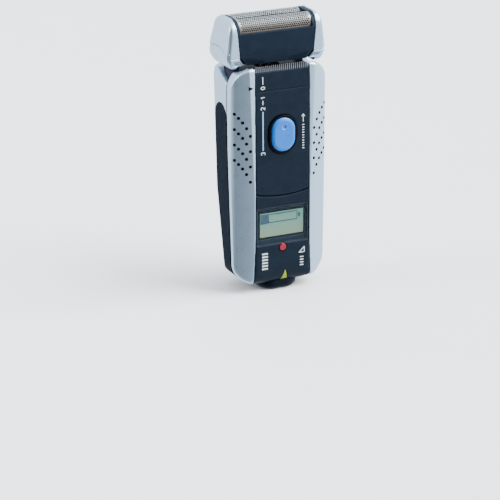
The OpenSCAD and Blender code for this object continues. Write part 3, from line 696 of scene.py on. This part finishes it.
STUD_ROWS = [(27.7, 106.5), (25.7, 104.2), (23.7, 101.6), (21.7, 98.3), (19.7, 93.8)]
STUD_PITCH, STUD_COUNT, STUD_R = 8.9, 4, 0.95
PLUG_R, PLUG_LONG, PLUG_SUNK = STUD_R + 0.25, 1.4, 0.75
IN_FRONT = -40.0
SEARCH_STEPS, SEARCH_STRIDE = 14, 1.02


def stud_places(side):
    """Each stud's place on the panel's surface, and the surface's normal there."""
    for x, top in STUD_ROWS:
        for i in range(STUD_COUNT):
            place = np.array([[side * x, IN_FRONT, top - STUD_PITCH * i]])
            for _ in range(SEARCH_STEPS):
                found = depths(HANDLE, place)
                nearest = max(range(len(found)), key=lambda k: found[k][0][0])
                place[0, 1] += found[nearest][0][0] * SEARCH_STRIDE
            yield Vector(place[0]), Vector(found[nearest][1][0])


def stud_plugs(side):
    """Short bars that close the CAD's stud holes in the panel's skin, flush with its surface."""
    work = bmesh.new()
    for place, normal in stud_places(side):
        turn = normal.to_track_quat("Z", "Y").to_matrix().to_4x4()
        middle = place - normal * PLUG_SUNK
        bmesh.ops.create_cone(
            work,
            cap_ends=True,
            segments=16,
            radius1=PLUG_R * MM,
            radius2=PLUG_R * MM,
            depth=PLUG_LONG * MM,
            matrix=Matrix.Translation(middle * MM) @ turn,
        )
    mesh = bpy.data.meshes.new("plugs")
    work.to_mesh(mesh)
    work.free()
    return mesh


PANEL_CROWN, PANEL_BACK = 0.45, -8


def crowned(co):
    """The silver panels bulge a little between the centre strip and their outer edge."""
    across = np.clip((np.abs(co[:, 0]) - STRIP_HALF) / (BODY_HALF - STRIP_HALF), 0, 1)
    outside = np.clip(1 + np.max([d for d, _ in depths(HANDLE, co)], 0), 0, 1)
    co = co.copy()
    co[:, 1] -= PANEL_CROWN * 4 * across * (1 - across) * outside * (co[:, 1] < PANEL_BACK)
    return co


FLANGE_OUT = 16.75


def narrowed(co):
    """The slide's flanges, drawn in a little so that they stay clear of the softened panels."""
    co = co.copy()
    co[:, 0] = np.clip(co[:, 0], -FLANGE_OUT, FLANGE_OUT)
    return co


def housings():
    for side, word in ((-1, "left"), (1, "right")):
        skin(
            "front_shell_" + word, SILVER,
            voxel=0.3, passes=3, shape=HANDLE, extra=stud_plugs(side), carve=crowned,
        )
    skin("rear_shell", SILVER, voxel=0.5, passes=3, shape=HANDLE)
    skin("rear_grip", GRIP, voxel=0.45, passes=3, shape=HANDLE)
    skin("front_panel", STRIP, voxel=0.3, passes=3, shape=HANDLE)
    skin("slide_panel", STRIP, voxel=0.3, passes=3, shape=HANDLE, carve=narrowed)
    skin("trimmer_cover", STRIP, voxel=0.2, passes=2, shape=HANDLE, carve=narrowed)
    skin("base_cap", FOOT, voxel=0.3, passes=3, shape=base_shape(), reach=4)


CREASE_X, CREASE_Y, CREASE_LOW, CREASE_HIGH = 29.2, -13.2, 138.6, 154.5
CREASE_LEAN = ((137, 151, 156), (0.4, -1.0, -2.0))
CREASE_DEEP, CREASE_WIDE, CREASE_FADE, CREASE_WAY = 0.9, 0.6, 1.5, (0.8, 0.6)
DIMPLE_Y, DIMPLE_Z, DIMPLE_R, DIMPLE_DEEP = 2.3, 135.1, 1.5, 0.6
DIMPLE_FROM, DIMPLE_FADE = 27, 1.5


def cap_details(co):
    """The fine groove down each cap's front outer edge, and the fingertip dimple in each release button."""
    x, y, z = np.abs(co[:, 0]), co[:, 1], co[:, 2]
    off = np.hypot(x - CREASE_X - np.interp(z, *CREASE_LEAN), y - CREASE_Y)
    begun = np.clip((z - CREASE_LOW) / CREASE_FADE, 0, 1)
    left = np.clip((CREASE_HIGH - z) / CREASE_FADE, 0, 1)
    deep = CREASE_DEEP * np.exp(-((off / CREASE_WIDE) ** 2)) * begun * left
    dent = DIMPLE_DEEP * np.exp(-(((y - DIMPLE_Y) ** 2 + (z - DIMPLE_Z) ** 2) / DIMPLE_R**2))
    dent *= np.clip((x - DIMPLE_FROM) / DIMPLE_FADE, 0, 1)
    made = co.copy()
    made[:, 0] -= np.sign(co[:, 0]) * (deep * CREASE_WAY[0] + dent)
    made[:, 1] += deep * CREASE_WAY[1]
    return made


SEAM_Z, SEAM_DROP, SEAM_FADE = 138.2, 0.1, 0.4


def lowered_foot(co):
    """The cassette's foot comes down until only a hairline is left above the head's wall."""
    co = co.copy()
    co[:, 2] -= SEAM_DROP * np.clip((SEAM_Z - co[:, 2]) / SEAM_FADE, 0, 1)
    return co


def head_pieces():
    for node in ("side_cap_left", "side_cap_right", "release_button_left", "release_button_right"):
        skin(node, SILVER, voxel=0.25, passes=3, shape=HEAD, carve=cap_details)
    skin("head_frame", HEAD_DARK, voxel=0.2, passes=1)
    skin("foil_frame", HEAD_DARK, voxel=0.2, passes=1, carve=lowered_foot)


housings()
head_pieces()

# ---- Controls ----


def controls():
    skin("lock_button", BUTTON, voxel=0.2, passes=8)
    skin("button_bezel", BLACK, voxel=0.2, passes=4)
    skin("charge_lens", LAMP, voxel=0.15, passes=6)


controls()

# ---- Springs under the buttons ----

COIL_STEPS, COIL_SIDES, COIL_FLAT = 160, 10, 0.16
LOCK_SEAT_Y, LOCK_TRAVEL = -19.0, 0.8
RELEASE_SEAT_X, RELEASE_TRAVEL = 23.8, 1.0


def helix(middle, along, start, end, radius, turns):
    """Points up a coil round the middle, level over its first and last part."""
    across = [k for k in range(3) if k != along]
    points = []
    for k in range(COIL_STEPS + 1):
        t = k / COIL_STEPS
        rise = np.clip((t - COIL_FLAT) / (1 - 2 * COIL_FLAT), 0, 1)
        p = middle.copy()
        p[along] = start + (end - start) * rise
        p[across[0]] += radius * math.cos(math.tau * turns * t)
        p[across[1]] += radius * math.sin(math.tau * turns * t)
        points.append(p)
    return points


def wire_round(points, middle, along, wire):
    """A round wire of that radius through a coil's points: its corners and faces."""
    verts, faces = [], []
    last = len(points) - 1
    for k, p in enumerate(points):
        ahead = points[min(k + 1, last)] - points[max(k - 1, 0)]
        out = p - middle
        out[along] = 0
        out = unit(out)
        side = unit(np.cross(ahead, out))
        for j in range(COIL_SIDES):
            a = math.tau * j / COIL_SIDES
            verts.append(tuple(p + wire * (math.cos(a) * out + math.sin(a) * side)))
    for k in range(last):
        low, high = k * COIL_SIDES, (k + 1) * COIL_SIDES
        for j in range(COIL_SIDES):
            n = (j + 1) % COIL_SIDES
            faces.append((low + j, low + n, high + n, high + j))
    faces.append(tuple(reversed(range(COIL_SIDES))))
    faces.append(tuple(last * COIL_SIDES + j for j in range(COIL_SIDES)))
    return verts, faces


def coil(name, node, axis, fixed, travel, radius, turns=4.5, wire=0.16):
    """A spring in place of a CAD one, closed flat at both ends."""
    low, high = (np.array(c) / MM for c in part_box(node))
    middle = (low + high) / 2
    along = int(np.argmax(np.abs(axis)))
    start, end = low[along] + wire, high[along] - wire
    points = helix(middle, along, start, end, radius, turns)
    verts, faces = wire_round(points, middle, along, wire)
    piece = new_piece(name, mesh_of(verts, faces), body_of(node), PLATED)
    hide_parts(node)
    anchor = middle.copy()
    anchor[along] = fixed
    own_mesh(piece)


def button_springs():
    coil(
        "lock_button_spring", "lock_spring", (0, 1, 0),
        fixed=LOCK_SEAT_Y, travel=LOCK_TRAVEL, radius=2.0, turns=3, wire=0.08,
    )
    for side, word in ((-1, "left"), (1, "right")):
        coil(
            "release_coil_" + word, "release_spring_" + word, (1, 0, 0),
            fixed=side * RELEASE_SEAT_X, travel=RELEASE_TRAVEL, radius=1.05,
        )


button_springs()

# ---- Foils ----

FOIL_R, FOIL_Z, FOIL_LOW, FOIL_HALF = 5.2, 151.7, 149.6, 22.2
FOIL_LEG, FOIL_ARCH = FOIL_Z - FOIL_LOW, math.pi * FOIL_R
FOIL_LENGTH = 2 * FOIL_LEG + FOIL_ARCH
FOIL_PITCH, FOIL_HOLE, FOIL_THICK = 1.25, 0.52, 0.1
FOIL_END, FOIL_EDGE, CLOSED_SIZE = 1.6, 0.9, 0.35
FOIL_GRID = 200  # corners in the same 1/200 mm are one corner
FRONT_FOIL_Y, REAR_FOIL_Y = -6.3, 5.7


def foil_point(middle, s, x):
    """A point on the foil: s runs from the foot of its front leg, over the arch, to its back leg."""
    if s < FOIL_LEG:
        return (x, middle - FOIL_R, FOIL_LOW + s)
    if s > FOIL_LEG + FOIL_ARCH:
        return (x, middle + FOIL_R, FOIL_Z - (s - FOIL_LEG - FOIL_ARCH))
    a = (s - FOIL_LEG) / FOIL_R
    return (x, middle - FOIL_R * math.cos(a), FOIL_Z + FOIL_R * math.sin(a))


def foil_sheet(middle):
    """Hexagonal cells, each with a hole, and closed cells along the borders: corners and faces."""
    verts, index, faces = [], {}, []

    def vertex(s, x):
        x = max(-FOIL_HALF, min(FOIL_HALF, x))
        key = (round(s * FOIL_GRID), round(x * FOIL_GRID))
        if key not in index:
            index[key] = len(verts)
            verts.append(foil_point(middle, min(max(s, 0), FOIL_LENGTH), x))
        return index[key]

    side = FOIL_PITCH / math.sqrt(3)
    angles = [math.radians(60 * k + 30) for k in range(6)]
    corners = [(math.cos(a), math.sin(a)) for a in angles]
    for row in range(int(FOIL_LENGTH / (1.5 * side)) + 1):
        for column in range(int(2 * FOIL_HALF / FOIL_PITCH) + 1):
            x = -FOIL_HALF + (column + 0.5 * (row % 2)) * FOIL_PITCH
            s = row * 1.5 * side + side * 0.5
            closed = abs(x) > FOIL_HALF - FOIL_END or s < FOIL_EDGE or s > FOIL_LENGTH - FOIL_EDGE
            size = FOIL_HOLE * (CLOSED_SIZE if closed else 1.0)
            outer = [vertex(s + side * q, x + side * p) for p, q in corners]
            inner = [vertex(s + size * q, x + size * p) for p, q in corners]
            for k in range(6):
                n = (k + 1) % 6
                faces.append((outer[k], outer[n], inner[n], inner[k]))
            if closed:
                faces.append(tuple(inner))
    return verts, faces


def welded(mesh):
    """The mesh without the doubled corners and empty faces that the foil's straight ends leave."""
    work = bmesh.new()
    work.from_mesh(mesh)
    bmesh.ops.remove_doubles(work, verts=work.verts, dist=0.005 * MM)
    bmesh.ops.dissolve_degenerate(work, edges=work.edges, dist=0.01 * MM)
    work.to_mesh(mesh)
    work.free()
    return mesh


def thickened(piece, thick, offset=0):
    solid = piece.modifiers.new("thickness", "SOLIDIFY")
    solid.thickness = thick * MM
    solid.offset = offset


def foil(node, middle):
    verts, faces = foil_sheet(middle)
    mesh = welded(mesh_of(verts, faces))
    piece = new_piece(node + "_mesh", mesh, "cassette", FOIL)
    thickened(piece, FOIL_THICK, -1)
    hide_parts(node)


foil("front_foil", FRONT_FOIL_Y)
foil("rear_foil", REAR_FOIL_Y)

# ---- Combs and blades ----

SHEAR_TEETH, SHEAR_DEEP, SHEAR_INSET, SHEAR_BEVEL = 34, 1.4, 0.05, 0.08
COMB_TEETH, CUTTER_TEETH, TOOTH_BEVEL = 27, 25, 0.05
TOOTH_ROOT = 128.2


def box_faces(low, high):
    """The corners and faces of a box that is a piece's plate or one of its teeth."""
    x0, y0, z0 = low
    x1, y1, z1 = high
    verts = [(x0, y0, z0), (x1, y0, z0), (x1, y1, z0), (x0, y1, z0)]
    verts += [(x0, y0, z1), (x1, y0, z1), (x1, y1, z1), (x0, y1, z1)]
    faces = [(0, 3, 2, 1), (4, 5, 6, 7), (0, 1, 5, 4), (1, 2, 6, 5), (2, 3, 7, 6), (3, 0, 4, 7)]
    return verts, faces


def joined(parts):
    """One mesh from a list of corners and faces."""
    verts, faces = [], []
    for v, f in parts:
        faces += [tuple(i + len(verts) for i in face) for face in f]
        verts += v
    return mesh_of(verts, faces)


def box_in_mm(node):
    low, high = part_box(node)
    return np.array(low) / MM, np.array(high) / MM


def centre_trimmer():
    """The toothed bar between the foils."""
    (x0, y0, z0), (x1, y1, z1) = box_in_mm("centre_trimmer")
    parts = [box_faces((x0, y0, z0), (x1, y1, z1 - SHEAR_DEEP))]
    step = (x1 - x0) / SHEAR_TEETH
    foot = z1 - SHEAR_DEEP - 0.1
    for i in range(SHEAR_TEETH):
        left = x0 + (i + 0.25) * step
        parts.append(box_faces((left, y0 + SHEAR_INSET, foot), (left + step / 2, y1 - SHEAR_INSET, z1)))
    piece = new_piece("centre_trimmer_teeth", joined(parts), "cassette", DARK_BLADE, False)
    bevelled(piece, SHEAR_BEVEL)
    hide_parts("centre_trimmer")


def tooth(middle, front, back, tip):
    """One tooth that narrows from root to tip: each level has its height, half width and set-back."""
    levels = [
        (TOOTH_ROOT - 0.2, 0.22, 0.0),
        (TOOTH_ROOT + 2, 0.19, 0.0),
        (tip - 0.5, 0.13, 0.12),
        (tip, 0.06, 0.3),
    ]
    verts = []
    for z, half, setback in levels:
        verts += [(middle - half, front + setback, z), (middle + half, front + setback, z)]
        verts += [(middle + half, back, z), (middle - half, back, z)]
    faces = [(0, 3, 2, 1), (12, 13, 14, 15)]
    for k in range(0, 12, 4):
        faces += [(k + j, k + (j + 1) % 4, k + 4 + (j + 1) % 4, k + 4 + j) for j in range(4)]
    return verts, faces


def pointed_teeth(node, body, count, name, material):
    """A comb with a plate below and teeth that narrow to their tips, inside the CAD node's box."""
    (x0, y0, z0), (x1, y1, z1) = box_in_mm(node)
    step = (x1 - x0) / count
    parts = [box_faces((x0, y0, z0), (x1, y1, TOOTH_ROOT))]
    parts += [tooth(x0 + (i + 0.5) * step, y0, y1, z1) for i in range(count)]
    piece = new_piece(name, joined(parts), body, material, False)
    bevelled(piece, TOOTH_BEVEL, 1)
    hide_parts(node)


centre_trimmer()
pointed_teeth("trimmer_comb", "slide", COMB_TEETH, "comb_teeth", BLADE)
pointed_teeth("trimmer_cutter", "trimmer_blade", CUTTER_TEETH, "cutter_teeth", DARK_BLADE)

# ---- Printed marks, ribs and studs ----


def surface_y(node, x, z):
    """Where the front of that node's skin is, seen along Y."""
    place, _, _, _ = SKINS[node].ray_cast(Vector((x, IN_FRONT, z)), Vector(Y))
    return place.y


def dense(path, closed, step=0.7):
    """The same path with a point at least every step, so that a stroke follows a curved surface."""
    pts = [np.array(p, float) for p in path]
    ends = pts[1:] + ([pts[0]] if closed else [])
    made = []
    for a, b in zip(pts, ends):
        parts = max(1, math.ceil(np.linalg.norm(b - a) / step))
        made += [a + (b - a) * k / parts for k in range(parts)]
    return np.array(made if closed else made + [pts[-1]])


def ribbon(path, width, closed=False):
    """A flat stroke of that width along points (x, z): its corners and quads in X and Z."""
    pts = dense(path, closed)
    count = len(pts)
    ahead = np.roll(pts, -1, 0) - pts
    behind = pts - np.roll(pts, 1, 0)
    if not closed:
        ahead[-1], behind[0] = behind[-1], ahead[0]
    way = unit_rows(unit_rows(ahead) + unit_rows(behind))
    off = np.stack((-way[:, 1], way[:, 0]), 1) * width / 2
    flat = np.concatenate((pts + off, pts - off))
    pieces = count if closed else count - 1
    quads = [(i, (i + 1) % count, (i + 1) % count + count, i + count) for i in range(pieces)]
    return flat, quads


def slab(flat, depth, quads, thick):
    """A thin closed sheet, thick each way from those depths: its corners and faces."""
    count = len(flat)
    verts = [(x, y - thick, z) for (x, z), y in zip(flat, depth)]
    verts += [(x, y + thick, z) for (x, z), y in zip(flat, depth)]
    faces = []
    for quad in quads:
        faces += [quad, tuple(count + i for i in reversed(quad))]
    edges = dict.fromkeys(pair for quad in quads for pair in zip(quad, quad[1:] + quad[:1]))
    faces += [(b, a, count + a, count + b) for a, b in edges if (b, a) not in edges]
    return verts, faces


def ink(name, strokes, node, material, level=0.0, thick=0.04):
    """Thin pieces on the front of a node's skin: each stroke is (points in X and Z, faces)."""
    parts = []
    for flat, quads in strokes:
        depth = [surface_y(node, x, z) - level for x, z in flat]
        parts.append(slab(flat, depth, quads, thick))
    mesh = joined(parts)
    work = bmesh.new()
    work.from_mesh(mesh)
    bmesh.ops.recalc_face_normals(work, faces=work.faces)
    work.to_mesh(mesh)
    work.free()
    new_piece(name, mesh, body_of(node), material, False)


def arc(cx, cz, rx, rz, start, end, steps):
    angles = np.radians(np.linspace(start, end, steps))
    return [(cx + rx * math.cos(a), cz + rz * math.sin(a)) for a in angles]


def digit(kind, x, z, size=2.3, width=0.4):
    """A scale number, turned a quarter anticlockwise: it reads up the strip."""
    w, h = size * 0.32, size / 2
    path = {
        "0": arc(0, 0, w, h, 0, 345, 20),
        "1": [(-w * 0.7, size * 0.22), (0, h), (0, -h)],
        "2": arc(0, size * 0.2, w, size * 0.3, 170, -40, 12) + [(-w, -h), (w, -h)],
        "3": arc(0, size * 0.24, w, size * 0.26, 150, -80, 10)
        + arc(0, -size * 0.24, w, size * 0.28, 80, -150, 12),
    }[kind]
    return ribbon([(x - v, z + u) for u, v in path], width, kind == "0")


MARK_X, MARK_WIDE, LINE_WIDE = -12.0, 0.42, 0.7
ZERO_Z, ONE_Z, TWO_Z, THREE_Z = 120.4, 115.0, 108.6, 82.6
POINTER_X, POINTER_Z, POINTER_LONG, POINTER_HALF = -20.6, 121.0, 2.9, 1.15
TICK_X, TICK_Z, TICK_PITCH, TICK_COUNT = 12.8, 83, 1.5, 10
BADGE_Z, BADGE_PITCH, BADGE_COUNT = 14.4, 1.8, 6
WORD_Z, WORD_PITCH, WORD_COUNT = 13.6, 1.6, 4
ARROW_LOW, ARROW_HIGH, ARROW_HALF = 98.2, 102.6, 0.9
WALL_RIBS, WALL_RIB_X, WALL_RIB_PITCH, WALL_RIB_TOP, WALL_RIB_FOOT = 9, 16.6, 1.15, 136.2, 133.0
# the release buttons' ribs are drawn as dark strokes: painted shade between the ribs
GRIP_RIBS, GRIP_RIB_X, GRIP_RIB_PITCH, GRIP_RIB_TOP, GRIP_RIB_FOOT = 5, 21.6, 0.95, 135.4, 133.6


def upright(start, end, width):
    """A straight stroke along the scale, between two heights."""
    return ribbon([(MARK_X, start), (MARK_X, end)], width)


def scale_marks():
    """The numbers 0 to 3, the dashes between them, and the blue line down to the 3."""
    slide = [digit("1", MARK_X, ONE_Z), digit("2", MARK_X, TWO_Z), digit("3", MARK_X, THREE_Z)]
    slide.append(upright(113.2, 110.8, MARK_WIDE))
    ink("slide_numbers", slide, "slide_panel", WHITE_INK)
    cover = [digit("0", MARK_X, ZERO_Z), upright(122.4, 126.6, MARK_WIDE)]
    ink("cover_numbers", cover, "trimmer_cover", WHITE_INK)
    ink("slide_line", [upright(106.8, 84.4, LINE_WIDE)], "slide_panel", BLUE_INK)


def pointer():
    """The black wedge on the left panel that points at the scale."""
    steps = 6
    upper, lower = [], []
    for i in range(steps + 1):
        t = i / steps
        x, z = POINTER_X + POINTER_LONG * t, POINTER_Z - 0.1 * t
        half = POINTER_HALF * (1 - t) + 0.05
        upper.append((x, z + half))
        lower.append((x, z - half))
    quads = [(i, i + 1, i + 2 + steps, i + 1 + steps) for i in range(steps)]
    ink("pointer", [(upper + lower, quads)], "front_shell_left", BLACK_INK)


def small_marks():
    """Plain bars and outlines where the photo has words and a badge."""
    heights = [TICK_Z + TICK_PITCH * i for i in range(TICK_COUNT)]
    ticks = [ribbon([(TICK_X - 0.6, z), (TICK_X + 0.6, z)], 0.5) for z in heights]
    ticks.append(ribbon([(TICK_X, ARROW_LOW), (TICK_X, ARROW_HIGH)], 0.4))
    head = [(TICK_X - ARROW_HALF, 101.3), (TICK_X, ARROW_HIGH + 0.1), (TICK_X + ARROW_HALF, 101.3)]
    ticks.append(ribbon(head, 0.4))
    ink("slide_ticks", ticks, "slide_panel", WHITE_INK)
    heights = [BADGE_Z + BADGE_PITCH * i for i in range(BADGE_COUNT)]
    bars = [ribbon([(-12.9, z), (-9.3, z)], 0.9) for z in heights]
    heights = [WORD_Z + WORD_PITCH * i for i in range(WORD_COUNT)]
    bars += [ribbon([(10.9, z), (13.1, z)], 0.6) for z in heights]
    bars.append(ribbon([(10.2, 21.2), (13.6, 21.2), (13.6, 24.4)], 0.5, True))
    ink("panel_bars", bars, "front_panel", WHITE_INK)


def cap_lines():
    """A dark line along the bottom of each cap's groove: painted shade."""
    heights = np.linspace(CREASE_LOW + 1, CREASE_HIGH - 0.8, 24)
    for side, word in ((-1, "left"), (1, "right")):
        path = [(side * (CREASE_X - 0.75 + np.interp(z, *CREASE_LEAN)), z) for z in heights]
        ink("cap_line_" + word, [ribbon(path, 0.3)], "side_cap_" + word, GROOVE_SHADE)


def corner_ribs():
    """Slanting ribs in the lower corners of the head's dark wall, and dark strokes on the release buttons'
    tongues that are painted shade between their ribs.
    """
    for side, word in ((-1, "left"), (1, "right")):
        wall, groove_shades = [], []
        for i in range(WALL_RIBS):
            foot, top = side * (WALL_RIB_X - WALL_RIB_PITCH * i), WALL_RIB_TOP - 0.22 * i
            lean = side * (top - WALL_RIB_FOOT) * 0.75
            wall.append(ribbon([(foot + lean, top), (foot, WALL_RIB_FOOT)], 0.42))
        # dark strokes on the release buttons' tongues: painted shade in the grooves between their ribs
        for i in range(GRIP_RIBS):
            x, top = GRIP_RIB_X + GRIP_RIB_PITCH * i, GRIP_RIB_TOP - 0.1 * i
            groove_shades.append(ribbon([(side * (x + 1.0), top), (side * (x - 0.5), GRIP_RIB_FOOT)], 0.36))
        ink("wall_ribs_" + word, wall, "head_frame", HEAD_DARK, level=0.08, thick=0.2)
        button = "release_button_" + word
        ink("button_rib_shade_" + word, groove_shades, button, BLACK, thick=0.05)


scale_marks()
pointer()
small_marks()
cap_lines()
corner_ribs()


DOME_R, DOME_TALL, DOME_SUNK, DOME_SIDES, DOME_RINGS = STUD_R - 0.02, 0.25, 0.35, 24, 4


def dome(place, normal):
    """One low dome on a short stem that is sunk into the panel: its corners and faces."""
    turn = normal.to_track_quat("Z", "Y").to_matrix()
    angles = [math.radians(90 * k / DOME_RINGS) for k in range(DOME_RINGS)]
    levels = [(DOME_R, -DOME_SUNK)]
    levels += [(DOME_R * math.cos(a), DOME_TALL * math.sin(a)) for a in angles]
    verts, faces = [], []
    for r, rise in levels:
        for a in range(DOME_SIDES):
            t = math.tau * a / DOME_SIDES
            verts.append(tuple(place + turn @ Vector((r * math.cos(t), r * math.sin(t), rise))))
    verts.append(tuple(place + normal * DOME_TALL))
    for k in range(DOME_RINGS):
        low, high = k * DOME_SIDES, (k + 1) * DOME_SIDES
        for a in range(DOME_SIDES):
            n = (a + 1) % DOME_SIDES
            faces.append((low + a, low + n, high + n, high + a))
    last = DOME_RINGS * DOME_SIDES
    faces += [(last + a, last + (a + 1) % DOME_SIDES, last + DOME_SIDES) for a in range(DOME_SIDES)]
    faces.append(tuple(reversed(range(DOME_SIDES))))
    return verts, faces


def stud_domes():
    """The visible end of each stud."""
    domes = []
    for side, word in ((-1, "left"), (1, "right")):
        for place, normal in stud_places(side):
            place.y = surface_y("front_shell_" + word, place.x, place.z)
            domes.append(dome(place, normal))
    new_piece("stud_domes", joined(domes), "handle", BLACK_RUBBER)


stud_domes()

# ---- Display, lamp ring and button ring ----

LCD_Y, LCD_HALF, LCD_LOW, LCD_HIGH = -20.32, 13.5, 32.8, 47.0
LENS_Y, LENS_HALF, LENS_LOW, LENS_HIGH = -21.65, 15.7, 28.6, 50.4
CELL_LOW, CELL_HIGH = 41.2, 46.0
LAMP_Z, LAMP_RING_R = 26.1, 2.35
DIMPLE_RING_Z, DIMPLE_RING_R = 97.2, 1.5


def plate_of(strokes, y):
    """Flat pieces that stand upright at that depth."""
    verts, faces = [], []
    for flat, quads in strokes:
        faces += [tuple(len(verts) + i for i in q) for q in quads]
        verts += [(p[0], y, p[1]) for p in flat]
    return mesh_of(verts, faces)


def lcd_face():
    """The liquid crystal's front, a thin plate."""
    low, high = (-LCD_HALF, LCD_Y, LCD_LOW), (LCD_HALF, LCD_Y + 0.15, LCD_HIGH)
    piece = new_piece("lcd_face", joined([box_faces(low, high)]), "handle", LCD, False)
    bevelled(piece, 0.05)


def sheet_piece(name, strokes, y, material, thick):
    """Upright strokes at that depth, as a thin piece on the handle."""
    piece = new_piece(name, plate_of(strokes, y), "handle", material, False)
    thickened(piece, thick)


def display():
    """The battery symbol on the liquid crystal, the window's edge as a lighter line of painted highlight,
    and the ring round the red lamp.
    """
    outline = [(-8.3, CELL_LOW), (9.6, CELL_LOW), (9.6, CELL_HIGH), (-8.3, CELL_HIGH)]
    nub = [(10.9, CELL_LOW + 1.2), (10.9, CELL_HIGH - 1.2)]
    symbols = [ribbon(outline, 0.45, closed=True), ribbon(nub, 1.0)]
    sheet_piece("lcd_symbols", symbols, LCD_Y - 0.05, SEGMENT, thick=0.03)
    cell = [ribbon([(-10.9, CELL_LOW - 0.6), (-10.9, CELL_HIGH + 0.4)], 4.6)]
    sheet_piece("lcd_cell", cell, LCD_Y - 0.04, CELL, thick=0.03)
    # the window's edge: a lighter line all round the lens, painted highlight
    rim = [(-LENS_HALF, LENS_LOW), (LENS_HALF, LENS_LOW), (LENS_HALF, LENS_HIGH), (-LENS_HALF, LENS_HIGH)]
    rim = [ribbon(rim, 0.2, True)]
    sheet_piece("lens_edge_highlight", rim, LENS_Y - 0.02, LENS_EDGE_HIGHLIGHT, thick=0.06)
    ring = [ribbon(arc(0, LAMP_Z, LAMP_RING_R, LAMP_RING_R, 128, 412, 48), 0.4)]
    ink("lamp_ring", ring, "front_panel", BLACK, level=0.05, thick=0.1)


def button_dimple():
    """The raised ring round the dimple in the lock button."""
    circle = arc(0, DIMPLE_RING_Z, DIMPLE_RING_R, DIMPLE_RING_R, 0, 352.5, 48)
    ring = [ribbon(circle, 0.4, True)]
    ink("button_ring", ring, "lock_button", BUTTON_RING, level=0.04, thick=0.08)


lcd_face()
display()
button_dimple()

# ---- Floor ----

FLOOR_Z, FLOOR_SIZE, FLOOR_CELLS = -0.00002, 6.0, 12


def floor():
    """A plain pale floor, hidden from bounced light and reflections to keep the silver's contrast."""
    across = [FLOOR_SIZE * (k / FLOOR_CELLS - 0.5) for k in range(FLOOR_CELLS + 1)]
    verts = [(x, y, FLOOR_Z) for y in across for x in across]
    row = FLOOR_CELLS + 1
    faces = [
        (j * row + i, j * row + i + 1, (j + 1) * row + i + 1, (j + 1) * row + i)
        for j in range(FLOOR_CELLS)
        for i in range(FLOOR_CELLS)
    ]
    mesh = bpy.data.meshes.new("floor")
    mesh.from_pydata(verts, [], faces)
    ground = bpy.data.objects.new("floor", mesh)
    bpy.context.scene.collection.objects.link(ground)
    p = Paint("floor", (0.94, 0.94, 0.94), roughness=0.7)
    p.vary(p.noise(40), [(0.935, 0.935, 0.935), (0.945, 0.945, 0.945)])
    mesh.materials.append(p.material)
    ground.visible_diffuse = False
    ground.visible_glossy = False


floor()
